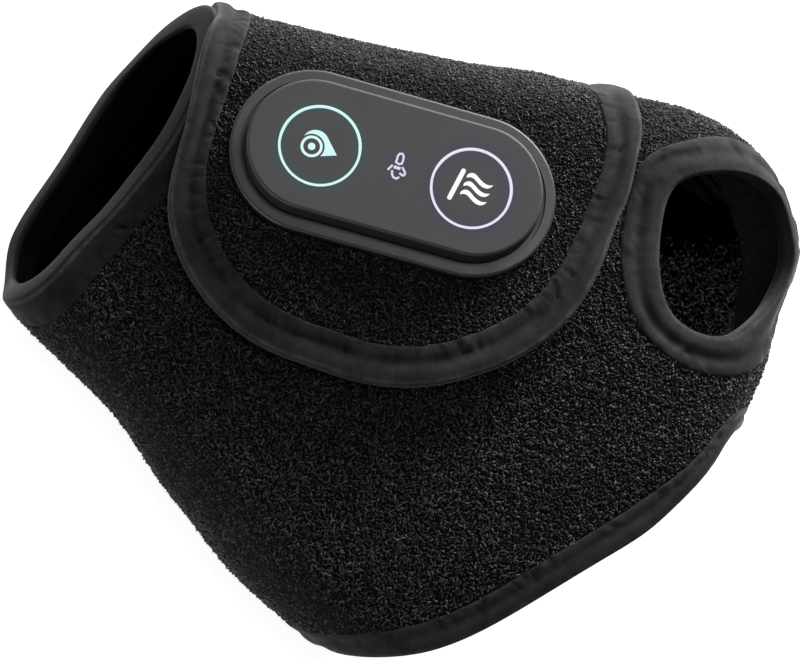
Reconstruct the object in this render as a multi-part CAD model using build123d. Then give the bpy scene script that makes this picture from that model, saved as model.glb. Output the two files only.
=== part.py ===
from build123d import *
import os
from math import cos, radians, sin, sqrt, tan

# A heated wrist wrap: a flattened fabric tube that lies on its underside, with a thumb hole
# and a flap that carries the control module. Millimetres. The origin is on the table plane,
# under the middle of the module. +X runs from the forearm to the hand, +Y to the upper fold.

# Plan of the tube: each side is its outward angle and its reach from the origin
FOLD_ANGLE = 113.3
FOLD_REACH = 33.5
THUMB_SIDE_ANGLE = 10.0
THUMB_SIDE_REACH = 110.8
PALM_SIDE_REACH = 105.0
LOWER_FOLD_ANGLE = -106.5
LOWER_FOLD_REACH = 89.0
BLANK_REACH = 105.0
THUMB_CORNER_RADIUS = 37.0
LOWER_BEND_RADIUS = 80.0
BLANK_CORNER_RADIUS = 25.0

# Section of the tube
CREST_HEIGHT = 49.0
TOP_SLOPE = 6.0
CROWN_RADIUS = 430.0
TOP_ROUND = 19.0
BOTTOM_ROUND = 15.0
PLUSH = 2.6
LINING = 1.7
LAYER_GAP = 0.2

# Openings of the tube
FOREARM_RIM_X = -73.0
FOREARM_SLANT = 25.5
HAND_ARC_RADIUS = 184.8
HAND_ARC_X = -75.4
HAND_ARC_Y = 21.9
HAND_ARC_HEIGHT = 55.0
HAND_UNDERCUT = 12.0
HAND_NOTCH_Y = -2.0
HAND_NOTCH_RADIUS = 9.0
THUMB_HOLE_X = 83.3
THUMB_HOLE_Y = 30.0
THUMB_HOLE_Z = 55.0
THUMB_HOLE_SHORT = 36.4
THUMB_HOLE_LONG = 44.5
THUMB_HOLE_TURN = 11.0
THUMB_HOLE_TILT = 12.0
THUMB_HOLE_DEPTH = 30.0

# Edge binding, a tape folded over every cut edge
TAPE = 0.7
TAPE_LAY = 0.15
TAPE_WIDTH = 8.5
THUMB_TAPE_DROP = 13.0

# Flap, hinged on the upper fold
FLAP_LIFT = 2.1
FLAP_THICKNESS = 4.0
FLAP_SIDE_ANGLE = 195.1
FLAP_SIDE_REACH = 52.8
FLAP_SIDE_RADIUS = 45.1
FLAP_TIP_ANGLE = -77.6
FLAP_TIP_REACH = 50.3
FLAP_TIP_RADIUS = 49.4
FLAP_SLANT_ANGLE = -39.4
FLAP_SLANT_REACH = 52.9
FLAP_SLANT_RADIUS = 51.4
FLAP_HAND_ANGLE = 8.7
FLAP_HAND_REACH = 57.0
FLAP_HAND_RADIUS = 40.6
FLAP_SHOULDER_ANGLE = 36.0
FLAP_SHOULDER_REACH = 60.5
FLAP_FOLD_MARGIN = 16.0
FLAP_CORNER_RADIUS = 14.0
HINGE_HEIGHT = 20.0
HINGE_GAP = 0.3
HINGE_TAPE_START = 1.2
ROOT_DEPTH = 12.0
HOOK_THICKNESS = 0.8
HOOK_LENGTH = 40.0
HOOK_WIDTH = 14.0
HOOK_MARGIN = 1.5
HOOK_SHIFT = 2.0
HOOK_CORNER = 4.0

# Heating film between plush and lining, on the flat underside
FILM_THICKNESS = 0.5
FILM_LENGTH = 92.0
FILM_WIDTH = 48.0
FILM_X = 12.0
FILM_Y = -34.0
FILM_CORNER = 6.0
FILM_PLAY = 0.15
TRACE_THICKNESS = 0.15
TRACE_WIDTH = 1.6
TRACE_PITCH = 6.0
TRACE_MARGIN = 5.0
SENSOR_SIDE = 4.0
SENSOR_THICKNESS = 0.6

# Control module: a stadium, its long side turned in the plane of the crest
MODULE_TURN = 16.6
MODULE_SHIFT = 1.5
RIM_LENGTH = 82.4
RIM_WIDTH = 41.2
RIM_STAND = 2.6
RIM_SINK = 0.8
RIM_WALL = 2.6
RIM_EDGE_ROUND = 0.8
GROOVE_FLOOR = 2.2
TRAY_LENGTH = 70.5
TRAY_WIDTH = 28.3
TRAY_WALL = 1.3
TRAY_FLOOR = 1.0
TRAY_DEPTH = 1.7
FLAP_SLOT_PLAY = 0.4
CLAMP_LENGTH = 76.0
CLAMP_WIDTH = 35.0
CLAMP_THICKNESS = 1.2
CLAMP_PLAY = 0.3
COVER_LENGTH = 75.2
COVER_WIDTH = 34.0
COVER_RISE = 6.0
COVER_WALL = 1.6
COVER_EDGE_ROUND = 0.8
COVER_DRAFT = 5.0
GASKET_HEIGHT = 0.6
GASKET_WIDTH = 1.3

# Buttons and their light rings
BUTTON_SPACING = 38.4
LIGHT_OUTER_RADIUS = 10.2
LIGHT_WIDTH = 0.6
LIGHT_FLANGE = 0.9
LIGHT_FLANGE_HEIGHT = 0.6
BUTTON_PLAY = 0.15
BUTTON_TRAVEL = 0.5
BUTTON_CAP = 1.2
BUTTON_FLANGE = 0.8
BUTTON_FLANGE_HEIGHT = 0.55
BUTTON_WALL = 1.0
BUTTON_STEM_RADIUS = 1.6
ICON_DEPTH = 0.25
ICON_FIT = 0.02

# Electronics
BOARD_THICKNESS = 0.8
BOARD_PLAY = 0.5
SWITCH_SIDE = 4.5
SWITCH_HEIGHT = 0.9
SWITCH_GAP = 0.1
LED_SIDE = 1.6
LED_HEIGHT = 0.7
LED_COUNT = 4
CHIP_SIDE = 6.0
CHIP_HEIGHT = 0.9
BATTERY_LENGTH = 42.0
BATTERY_WIDTH = 21.0
BATTERY_HEIGHT = 3.2
BATTERY_ROUND = 1.0
BATTERY_SEAT = 0.1
BOSS_RADIUS = 2.1
BOSS_X = 27.0
BOSS_Y = 8.6
SCREW_RADIUS = 0.85
SCREW_LENGTH = 5.0
SCREW_HEAD_RADIUS = 1.6
SCREW_HEAD_HEIGHT = 0.7
SCREW_PLAY = 0.05
MOTOR_RADIUS = 1.9
MOTOR_LENGTH = 6.6
MOTOR_X = 28.9
SHAFT_RADIUS = 0.5
SHAFT_PLAY = 0.05
WEIGHT_RADIUS = 1.75
WEIGHT_LENGTH = 3.0
WEIGHT_GAP = 0.4
SHAFT_SEAT = 3.0
PORT_WIDTH = 9.0
PORT_HEIGHT = 3.2
PORT_LENGTH = 5.0
PORT_WALL = 0.4
PORT_TONGUE = 0.7
PORT_PLAY = 0.15
PORT_RECESS = 0.7

# Pictograms in the plane of the face
EYE_X = -1.9
EYE_Y = -0.75
EYE_DOT = 0.9
EYE_INNER = 2.05
EYE_OUTER = 2.7
DROP_RADIUS = 3.3
DROP_REACH = 6.0
DROP_LEAN = -105.0
DROP_X = -1.2
DROP_Y = 0.3
DROP_GAP = 0.5
WAVE_COUNT = 3
WAVE_PITCH = 2.25
WAVE_STAGGER = 0.25
WAVE_STEP = 1.7
WAVE_RISES = (0.0, 0.55, -0.5, -1.15, -0.45)
WAVE_HALVES = (0.35, 0.6, 0.62, 0.5, 0.04)
WAVE_X = -2.1
BAR_WIDTH = 1.15
BAR_LENGTH = 8.7
BAR_LEAN = -12.5
BAR_X = -3.8
HAND_LINE = 0.5
HAND_LINES = [
    [(-0.3, 1.2), (0.5, 0.9), (1.2, 1.2), (1.3, 2.1), (1.2, 3.1), (0.75, 3.65), (0.1, 3.5), (-0.25, 2.8),
     (-0.2, 2.0), (-0.3, 1.2)],
    [(-1.0, 0.1), (-1.65, -1.05)],
    [(-0.6, -1.2), (-0.45, -2.0), (0.05, -2.65), (0.8, -2.8), (1.3, -2.35)],
    [(1.65, 0.25), (2.2, -0.35), (2.6, -0.9), (2.5, -1.45), (2.05, -1.6), (1.4, -1.3)],
]
BAND_LENGTH = 1.7
BAND_WIDTH = 0.75
BAND_X = 0.35
BAND_Y = -0.1

# Levels above the crest, along the normal of the crest plane
SKIN = PLUSH + LAYER_GAP + LINING
FLAP_TOP = FLAP_LIFT + FLAP_THICKNESS
RIM_BOTTOM = FLAP_TOP - RIM_SINK
RIM_TOP = FLAP_TOP + RIM_STAND
FACE = RIM_TOP + COVER_RISE
GROOVE = RIM_BOTTOM + GROOVE_FLOOR
TRAY_BOTTOM = RIM_BOTTOM - TRAY_DEPTH
FLOOR = TRAY_BOTTOM + TRAY_FLOOR
CLAMP_BOTTOM = TRAY_BOTTOM - CLAMP_THICKNESS
COVER_BOTTOM = GROOVE + GASKET_HEIGHT
CEILING = FACE - COVER_WALL
LIGHT_BOTTOM = CEILING - LIGHT_FLANGE_HEIGHT
BUTTON_FLANGE_TOP = LIGHT_BOTTOM - BUTTON_PLAY
BUTTON_FLANGE_BOTTOM = BUTTON_FLANGE_TOP - BUTTON_FLANGE_HEIGHT
STEM_BOTTOM = BUTTON_FLANGE_BOTTOM - BUTTON_PLAY
SWITCH_TOP = STEM_BOTTOM - BUTTON_TRAVEL - SWITCH_GAP
BOARD_TOP = SWITCH_TOP - SWITCH_HEIGHT
BOARD_BOTTOM = BOARD_TOP - BOARD_THICKNESS
LIGHT_INNER_RADIUS = LIGHT_OUTER_RADIUS - LIGHT_WIDTH
BUTTON_RADIUS = LIGHT_INNER_RADIUS - BUTTON_PLAY

# Smallest corner that an inward copy of an outline keeps
LEAST_ROUND = 0.5

# Sizes of construction blocks that only have to be larger than the wrap
FAR = 400.0
TALL = 160.0

TUBE_SIDES = [
    (FOLD_ANGLE, FOLD_REACH, THUMB_CORNER_RADIUS),
    (THUMB_SIDE_ANGLE, THUMB_SIDE_REACH, BLANK_CORNER_RADIUS),
    (-90.0, PALM_SIDE_REACH, LOWER_BEND_RADIUS),
    (LOWER_FOLD_ANGLE, LOWER_FOLD_REACH, BLANK_CORNER_RADIUS),
    (180.0, BLANK_REACH, BLANK_CORNER_RADIUS),
]
FLAP_SIDES = [
    (FOLD_ANGLE, FOLD_REACH + FLAP_TOP + FLAP_FOLD_MARGIN, FLAP_CORNER_RADIUS),
    (FLAP_SIDE_ANGLE, FLAP_SIDE_REACH, FLAP_SIDE_RADIUS),
    (FLAP_TIP_ANGLE, FLAP_TIP_REACH, FLAP_TIP_RADIUS),
    (FLAP_SLANT_ANGLE, FLAP_SLANT_REACH, FLAP_SLANT_RADIUS),
    (FLAP_HAND_ANGLE, FLAP_HAND_REACH, FLAP_HAND_RADIUS),
    (FLAP_SHOULDER_ANGLE, FLAP_SHOULDER_REACH, FLAP_CORNER_RADIUS),
]


def corner(side, following, grow):
    """Point where two straight sides meet, both moved outwards by grow."""
    a, b = radians(side[0]), radians(following[0])
    reach_a, reach_b = side[1] + grow, following[1] + grow
    turn = sin(b - a)
    x = (reach_a * sin(b) - reach_b * sin(a)) / turn
    y = (reach_b * cos(a) - reach_a * cos(b)) / turn
    return x, y


def plan(sides, grow):
    """Face inside straight sides that rounded corners join, grown outwards by grow."""
    following = sides[1:] + sides[:1]
    points = [corner(side, after, grow) for side, after in zip(sides, following)]
    radii = [max(side[2] + grow, LEAST_ROUND) for side in sides]
    return make_face(FilletPolyline(*points, radius=radii, close=True))


def crown(offset):
    """Long round bar whose upper side is the crowned, sloping top of the tube."""
    bar = Rot(0, 90, 0) * Rot(0, 0, 180) * Cylinder(CROWN_RADIUS + offset, 2 * FAR)
    return Pos(0, 0, CREST_HEIGHT) * Rot(0, -TOP_SLOPE, 0) * Pos(0, 0, -CROWN_RADIUS) * bar


def is_level(edge):
    size = edge.bounding_box().size
    return size.X + size.Y > 1.0


PILLOWS = {}


def pillow(offset):
    """The closed, rounded outer form of the tube, grown outwards by offset."""
    key = round(offset, 4)
    if key not in PILLOWS:
        blank = extrude(Pos(0, 0, -offset) * plan(TUBE_SIDES, offset), amount=TALL)
        solid = blank & crown(offset)
        middle = CREST_HEIGHT / 2
        upper = [e for e in solid.edges() if is_level(e) and e.center().Z > middle]
        solid = fillet(upper, TOP_ROUND + offset)
        lower = [e for e in solid.edges() if e.bounding_box().max.Z < 0.01 - offset]
        PILLOWS[key] = fillet(lower, BOTTOM_ROUND + offset)
    return PILLOWS[key]


def layer(inner, outer):
    return pillow(outer) - pillow(inner)


def forearm_cut(inset):
    """Everything beyond the slanted forearm rim, with the rim moved inwards by inset."""
    block = Box(FAR, FAR, FAR, align=(Align.MAX, Align.CENTER, Align.CENTER))
    edge = FOREARM_RIM_X + inset / cos(radians(FOREARM_SLANT))
    return Pos(edge, 0, 0) * Rot(0, FOREARM_SLANT, 0) * block


def hand_cut(inset):
    """Everything beyond the curved hand edge, which is undercut towards the table."""
    lean = HAND_UNDERCUT / HAND_ARC_HEIGHT
    start = -TALL / 2
    arc_x = HAND_ARC_X + (start - HAND_ARC_HEIGHT) * lean
    top_y = HAND_NOTCH_Y + inset
    radius = HAND_ARC_RADIUS - inset
    width = 2 * HAND_ARC_RADIUS
    outside = Pos(arc_x + radius / 2, top_y) * Rectangle(width, FAR, align=(Align.MIN, Align.MAX))
    outside = outside - Pos(arc_x, HAND_ARC_Y) * Circle(radius)
    notch_x = arc_x + sqrt(radius**2 - (top_y - HAND_ARC_Y) ** 2)
    notch = min(outside.vertices(), key=lambda v: abs(v.X - notch_x) + abs(v.Y - top_y))
    outside = fillet(notch, HAND_NOTCH_RADIUS + inset)
    path = Vector(lean, 0, 1).normalized()
    return extrude(Pos(0, 0, start) * outside, amount=2 * TALL, dir=path)


def thumb_plane():
    """Plane of the thumb hole's rim, tilted towards the hand."""
    turned = Location((THUMB_HOLE_X, THUMB_HOLE_Y, THUMB_HOLE_Z), (0, THUMB_HOLE_TILT, THUMB_HOLE_TURN))
    return Plane(turned)


def thumb_cut(inset, depth=THUMB_HOLE_DEPTH):
    """Oval plug through the top wall, grown by inset."""
    oval = Ellipse(THUMB_HOLE_SHORT / 2 + inset, THUMB_HOLE_LONG / 2 + inset)
    return thumb_plane() * Pos(0, 0, -depth) * extrude(oval, amount=depth + TALL / 2)


def flap_cut(inset):
    """Everything outside the flap's outline, with the outline moved inwards by inset."""
    block = Box(FAR, FAR, TALL, align=(Align.CENTER, Align.CENTER, Align.MIN))
    return block - extrude(plan(FLAP_SIDES, -inset), amount=TALL)


def above(height):
    return Pos(0, 0, height) * Box(FAR, FAR, TALL, align=(Align.CENTER, Align.CENTER, Align.MIN))


def edge_tape(inner, outer, cut):
    """Tape folded over the cut edge of the layer that spans the offsets inner to outer."""
    lay = TAPE_LAY
    wide = layer(inner - lay - TAPE, outer + lay + TAPE)
    band = cut(TAPE_WIDTH) - cut(-lay - TAPE)
    core = layer(inner - lay, outer + lay) - cut(-lay)
    return (wide & band) - core


def thumb_edge_tape():
    lay = TAPE_LAY
    wide = layer(-SKIN - lay - TAPE, lay + TAPE)
    band = thumb_cut(TAPE_WIDTH, THUMB_TAPE_DROP) - thumb_cut(-lay - TAPE)
    core = layer(-SKIN - lay, lay) - thumb_cut(-lay)
    return (wide & band) - core


def opened(solid):
    return solid - forearm_cut(0) - hand_cut(0) - thumb_cut(0)


def largest(shape):
    """The main solid of a cut, without the crumbs that a shallow cut can leave."""
    return max(shape.solids(), key=lambda solid: solid.volume)


def film_face(margin):
    face = RectangleRounded(FILM_LENGTH + 2 * margin, FILM_WIDTH + 2 * margin, FILM_CORNER + margin)
    return Pos(FILM_X, FILM_Y) * face


def wrap_shell():
    return largest(opened(layer(-PLUSH, 0)))


def inner_lining():
    depth = LAYER_GAP + FILM_THICKNESS + TRACE_THICKNESS + SENSOR_THICKNESS + FILM_PLAY
    pocket = Pos(0, 0, PLUSH) * extrude(film_face(FILM_PLAY), amount=depth)
    return largest(opened(layer(-SKIN, -PLUSH - LAYER_GAP)) - pocket)


def heating_film():
    return Pos(0, 0, PLUSH + LAYER_GAP / 2) * extrude(film_face(0), amount=FILM_THICKNESS)


def heating_trace():
    """Flat conductor that runs to and fro across the film."""
    run = FILM_LENGTH - 2 * TRACE_MARGIN
    rows = int((FILM_WIDTH - 2 * TRACE_MARGIN) / TRACE_PITCH)
    trace = Sketch()
    for row in range(rows + 1):
        y = (row - rows / 2) * TRACE_PITCH
        trace += Pos(0, y) * Rectangle(run, TRACE_WIDTH)
        if row < rows:
            side = 1 if row % 2 else -1
            link = Rectangle(TRACE_WIDTH, TRACE_PITCH + TRACE_WIDTH)
            trace += Pos(side * (run - TRACE_WIDTH) / 2, y + TRACE_PITCH / 2) * link
    height = PLUSH + LAYER_GAP / 2 + FILM_THICKNESS
    return Pos(FILM_X, FILM_Y, height) * extrude(trace, amount=TRACE_THICKNESS)


def temperature_sensor():
    height = PLUSH + LAYER_GAP / 2 + FILM_THICKNESS + TRACE_THICKNESS
    bead = Box(SENSOR_SIDE, SENSOR_SIDE, SENSOR_THICKNESS, align=(Align.CENTER, Align.CENTER, Align.MIN))
    return Pos(FILM_X, FILM_Y, height) * bead


def forearm_edge_binding():
    return largest(edge_tape(-SKIN, 0, forearm_cut) & above(0))


def hand_edge_binding():
    tape = edge_tape(-SKIN, 0, hand_cut) & above(0)
    return largest(tape - thumb_cut(TAPE_WIDTH + TAPE, THUMB_TAPE_DROP + TAPE))


def thumb_hole_binding():
    return largest(thumb_edge_tape())


def flap_panel():
    panel = (layer(FLAP_LIFT, FLAP_TOP) - flap_cut(0)) & above(HINGE_HEIGHT)
    slot = module_bar(
        TRAY_LENGTH + 2 * FLAP_SLOT_PLAY, TRAY_WIDTH + 2 * FLAP_SLOT_PLAY, TRAY_BOTTOM - FLAP_TOP, FACE
    )
    seat = module_bar(RIM_LENGTH + 2 * CLAMP_PLAY, RIM_WIDTH + 2 * CLAMP_PLAY, RIM_BOTTOM, FACE)
    pocket = module_bar(CLAMP_LENGTH + 2 * CLAMP_PLAY, CLAMP_WIDTH + 2 * CLAMP_PLAY, 0, TRAY_BOTTOM)
    return largest(panel - slot - seat - pocket)


def flap_edge_binding():
    tape = edge_tape(FLAP_LIFT, FLAP_TOP, flap_cut)
    return largest(tape & above(HINGE_HEIGHT + HINGE_TAPE_START))


def flap_root():
    """Sewn strip below the hinge line, where the flap's fabric joins the tube."""
    top = HINGE_HEIGHT - HINGE_GAP
    strip = layer(TAPE_LAY, FLAP_TOP) - flap_cut(0) - forearm_cut(TAPE_WIDTH + TAPE)
    return largest((strip & above(top - ROOT_DEPTH)) - above(top))


def hook_patch():
    middle = FLAP_TIP_REACH - TAPE_WIDTH - HOOK_MARGIN - HOOK_WIDTH / 2
    patch = extrude(RectangleRounded(HOOK_WIDTH, HOOK_LENGTH, HOOK_CORNER), amount=TALL)
    patch = Rot(0, 0, FLAP_TIP_ANGLE) * Pos(middle, HOOK_SHIFT) * patch
    top = FLAP_LIFT - TAPE_LAY
    patch = patch - flap_cut(TAPE_WIDTH + HOOK_MARGIN)
    return largest(layer(top - HOOK_THICKNESS, top) & patch & above(HINGE_HEIGHT))


def module_plane():
    """Plane of the crest, with its X along the module's long side."""
    crest = CREST_HEIGHT + MODULE_SHIFT * tan(radians(TOP_SLOPE))
    return Plane(Pos(MODULE_SHIFT, 0, crest) * Rot(0, -TOP_SLOPE, 0) * Rot(0, 0, MODULE_TURN))


def stadium(length, width):
    return SlotOverall(length, width)


def bar(length, width, bottom, top):
    return Pos(0, 0, bottom) * extrude(stadium(length, width), amount=top - bottom)


def module_bar(length, width, bottom, top):
    return module_plane() * bar(length, width, bottom, top)


def screw_places():
    return [(x, y) for x in (-BOSS_X, BOSS_X) for y in (-BOSS_Y, BOSS_Y)]


def button_places():
    return [-BUTTON_SPACING / 2, BUTTON_SPACING / 2]


def port_middle():
    """Level of the socket, which stands clear above the rim."""
    return CEILING - PORT_PLAY - PORT_HEIGHT / 2


def port_block(grow, start, length):
    """Rounded block along +Y in the side wall, in the module's own axes."""
    face = SlotOverall(PORT_WIDTH + 2 * grow, PORT_HEIGHT + 2 * grow)
    return Pos(0, start, port_middle()) * Rot(-90, 0, 0) * extrude(face, amount=length)


def port_start():
    return COVER_WIDTH / 2 - PORT_RECESS - PORT_LENGTH


def base_housing():
    rim = bar(RIM_LENGTH, RIM_WIDTH, RIM_BOTTOM, RIM_TOP)
    rim = fillet(rim.faces().sort_by(Axis.Z)[-1].edges(), RIM_EDGE_ROUND)
    rim -= bar(RIM_LENGTH - 2 * RIM_WALL, RIM_WIDTH - 2 * RIM_WALL, GROOVE, FACE)
    tray = bar(TRAY_LENGTH, TRAY_WIDTH, TRAY_BOTTOM, RIM_BOTTOM + GROOVE_FLOOR)
    hollow = bar(TRAY_LENGTH - 2 * TRAY_WALL, TRAY_WIDTH - 2 * TRAY_WALL, FLOOR, FACE)
    base = rim + tray - hollow
    for x, y in screw_places():
        base += Pos(x, y, FLOOR) * extrude(Circle(BOSS_RADIUS), amount=BOARD_BOTTOM - FLOOR)
        hole = extrude(Circle(SCREW_RADIUS + SCREW_PLAY), amount=SCREW_LENGTH + SCREW_PLAY)
        base -= Pos(x, y, CLAMP_BOTTOM) * hole
    return largest(base)


def clamp_plate():
    plate = bar(CLAMP_LENGTH, CLAMP_WIDTH, CLAMP_BOTTOM, TRAY_BOTTOM)
    for x, y in screw_places():
        hole = extrude(Circle(SCREW_RADIUS + SCREW_PLAY), amount=CLAMP_THICKNESS)
        head = extrude(Circle(SCREW_HEAD_RADIUS + SCREW_PLAY), amount=SCREW_HEAD_HEIGHT)
        plate -= Pos(x, y, CLAMP_BOTTOM) * (hole + head)
    return largest(plate)


def housing_screws():
    screws = []
    for x, y in screw_places():
        shank = extrude(Circle(SCREW_RADIUS), amount=SCREW_LENGTH)
        head = extrude(Circle(SCREW_HEAD_RADIUS), amount=SCREW_HEAD_HEIGHT)
        drive = extrude(RegularPolygon(SCREW_RADIUS * 0.8, 6), amount=SCREW_HEAD_HEIGHT / 2)
        screws.append(Pos(x, y, CLAMP_BOTTOM) * (shank + head - drive))
    return screws


def cover_gasket():
    ring = bar(COVER_LENGTH, COVER_WIDTH, GROOVE, COVER_BOTTOM)
    return ring - bar(COVER_LENGTH - 2 * GASKET_WIDTH, COVER_WIDTH - 2 * GASKET_WIDTH, GROOVE, COVER_BOTTOM)


def drafted(length, width, top):
    """Bar on the cover's foot that draws in towards its top."""
    foot = stadium(length, width)
    return Pos(0, 0, COVER_BOTTOM) * extrude(foot, amount=top - COVER_BOTTOM, taper=COVER_DRAFT)


def top_cover():
    cover = drafted(COVER_LENGTH, COVER_WIDTH, FACE)
    cover = fillet(cover.faces().sort_by(Axis.Z)[-1].edges(), COVER_EDGE_ROUND)
    cover -= drafted(COVER_LENGTH - 2 * COVER_WALL, COVER_WIDTH - 2 * COVER_WALL, CEILING)
    for x in button_places():
        cover -= Pos(x, 0, CEILING) * extrude(Circle(LIGHT_OUTER_RADIUS + ICON_FIT), amount=COVER_WALL)
    cover -= port_block(PORT_PLAY, port_start(), PORT_LENGTH + COVER_WALL)
    cover -= Pos(0, 0, FACE - ICON_DEPTH) * extrude(wrist_glyph(ICON_FIT), amount=ICON_DEPTH)
    return largest(cover)


def light_ring(x):
    wide = LIGHT_OUTER_RADIUS + LIGHT_FLANGE
    ring = Pos(0, 0, LIGHT_BOTTOM) * extrude(Circle(wide), amount=LIGHT_FLANGE_HEIGHT)
    ring += Pos(0, 0, LIGHT_BOTTOM) * extrude(Circle(LIGHT_OUTER_RADIUS), amount=FACE - LIGHT_BOTTOM)
    ring -= Pos(0, 0, LIGHT_BOTTOM) * extrude(Circle(LIGHT_INNER_RADIUS), amount=FACE - LIGHT_BOTTOM)
    return Pos(x, 0, 0) * ring


def button(x, glyph):
    """Flush cap with a skirt, a stop flange under the light ring and a stem over the switch."""
    cap = Pos(0, 0, BUTTON_FLANGE_BOTTOM) * extrude(Circle(BUTTON_RADIUS), amount=FACE - BUTTON_FLANGE_BOTTOM)
    flange = extrude(Circle(BUTTON_RADIUS + BUTTON_FLANGE), amount=BUTTON_FLANGE_HEIGHT)
    cap += Pos(0, 0, BUTTON_FLANGE_BOTTOM) * flange
    cap -= Pos(0, 0, BUTTON_FLANGE_BOTTOM) * extrude(
        Circle(BUTTON_RADIUS - BUTTON_WALL), amount=FACE - BUTTON_CAP - BUTTON_FLANGE_BOTTOM
    )
    stem = extrude(Circle(BUTTON_STEM_RADIUS), amount=FACE - BUTTON_CAP - STEM_BOTTOM)
    cap += Pos(0, 0, STEM_BOTTOM) * stem
    cap -= Pos(0, 0, FACE - ICON_DEPTH) * extrude(glyph(ICON_FIT), amount=ICON_DEPTH)
    return Pos(x, 0, 0) * cap


def icon(x, glyph):
    return Pos(x, 0, FACE - ICON_DEPTH) * extrude(glyph(0), amount=ICON_DEPTH)


def drop_glyph(grow):
    """Lying drop that curls over a ringed dot."""
    wide = DROP_RADIUS + grow
    reach = DROP_REACH + grow
    touch_y = wide**2 / reach
    touch_x = wide * sqrt(1 - (wide / reach) ** 2)
    point = make_face(Polyline((-touch_x, touch_y), (touch_x, touch_y), (0, reach), close=True))
    drop = Pos(DROP_X, DROP_Y) * Rot(0, 0, DROP_LEAN) * (Circle(wide) + point)
    drop -= Pos(EYE_X, EYE_Y) * Circle(EYE_OUTER + DROP_GAP - grow)
    ring = Circle(EYE_OUTER + grow) - Circle(EYE_INNER - grow) + Circle(EYE_DOT + grow)
    return drop + Pos(EYE_X, EYE_Y) * ring


def wave(grow):
    """One wavy stroke that starts at x = 0 and runs out to a point."""
    outline = list(zip(WAVE_RISES, WAVE_HALVES))
    upper = [(i * WAVE_STEP, rise + half + grow) for i, (rise, half) in enumerate(outline)]
    lower = [(i * WAVE_STEP, rise - half - grow) for i, (rise, half) in enumerate(outline)]
    top, bottom = Spline(*upper), Spline(*lower)
    return make_face([top, Line(top @ 1, bottom @ 1), bottom, Line(bottom @ 0, top @ 0)])


def heat_glyph(grow):
    """Leaning bar with waves that rise from it."""
    upright = Rot(0, 0, 90 + BAR_LEAN) * SlotOverall(BAR_LENGTH + 2 * grow, BAR_WIDTH + 2 * grow)
    glyph = Pos(BAR_X, 0) * upright
    for row in range(WAVE_COUNT):
        step = row - (WAVE_COUNT - 1) / 2
        glyph += Pos(WAVE_X + step * WAVE_STAGGER, step * WAVE_PITCH + WAVE_HALVES[0]) * wave(grow)
    return glyph


def stroke(line, grow):
    """Round-ended line of the small pictogram, or a ring where its ends meet."""
    half = HAND_LINE / 2 + grow
    if line[0] == line[-1]:
        shape = Polygon(*line[:-1], align=None)
        return offset(shape, half) - offset(shape, -half)
    return make_face(Polyline(*line).offset_2d(half, side=Side.BOTH))


def wrist_glyph(grow):
    """Small outline of a hand below a filled wrist band."""
    glyph = Pos(BAND_X, BAND_Y) * Rectangle(BAND_LENGTH + 2 * grow, BAND_WIDTH + 2 * grow)
    for line in HAND_LINES:
        glyph += stroke(line, grow)
    return glyph


def circuit_board():
    length = COVER_LENGTH - 2 * COVER_WALL - 2 * BOARD_PLAY
    width = COVER_WIDTH - 2 * COVER_WALL - 2 * BOARD_PLAY
    board = bar(length, width, BOARD_BOTTOM, BOARD_TOP)
    seat = Box(PORT_WIDTH + 2 * PORT_PLAY, FAR, BOARD_THICKNESS, align=(Align.CENTER, Align.MIN, Align.MIN))
    return largest(board - Pos(0, port_start() - PORT_PLAY, BOARD_BOTTOM) * seat)


def on_board(x, y, length, width, height):
    block = Box(length, width, height, align=(Align.CENTER, Align.CENTER, Align.MIN))
    return Pos(x, y, BOARD_TOP) * block


def tact_switches():
    return [on_board(x, 0, SWITCH_SIDE, SWITCH_SIDE, SWITCH_HEIGHT) for x in button_places()]


def ring_leds():
    radius = LIGHT_OUTER_RADIUS - LIGHT_WIDTH / 2
    leds = []
    for x in button_places():
        for index in range(LED_COUNT):
            turn = radians(360 / LED_COUNT * (index + 0.5))
            across, up = x + radius * cos(turn), radius * sin(turn)
            leds.append(on_board(across, up, LED_SIDE, LED_SIDE, LED_HEIGHT))
    return leds


def control_chip():
    return on_board(0, 0, CHIP_SIDE, CHIP_SIDE, CHIP_HEIGHT)


def battery_pack():
    cell = Box(BATTERY_LENGTH, BATTERY_WIDTH, BATTERY_HEIGHT, align=(Align.CENTER, Align.CENTER, Align.MIN))
    cell = fillet(cell.edges().filter_by(Axis.X), BATTERY_ROUND)
    return Pos(0, 0, FLOOR + BATTERY_SEAT) * cell


def motor_height():
    return FLOOR + BATTERY_SEAT + MOTOR_RADIUS


def motor_part(radius, start, length):
    return Pos(MOTOR_X, start, motor_height()) * Rot(-90, 0, 0) * extrude(Circle(radius), amount=length)


def motor_start():
    return -(MOTOR_LENGTH + WEIGHT_GAP + WEIGHT_LENGTH) / 2


def motor_can():
    start = motor_start()
    can = motor_part(MOTOR_RADIUS, start, MOTOR_LENGTH)
    depth = SHAFT_SEAT + SHAFT_PLAY
    return can - motor_part(SHAFT_RADIUS + SHAFT_PLAY, start + MOTOR_LENGTH - depth, depth)


def motor_weight():
    """Shaft with an eccentric half-round weight on its end."""
    front = motor_start() + MOTOR_LENGTH
    shaft = motor_part(SHAFT_RADIUS, front - SHAFT_SEAT, SHAFT_SEAT + WEIGHT_GAP + WEIGHT_LENGTH)
    weight = motor_part(WEIGHT_RADIUS, front + WEIGHT_GAP, WEIGHT_LENGTH)
    half = Box(FAR, FAR, FAR, align=(Align.CENTER, Align.CENTER, Align.MAX))
    return shaft + (weight & (Pos(0, 0, motor_height() + SHAFT_RADIUS / 2) * half))


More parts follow.
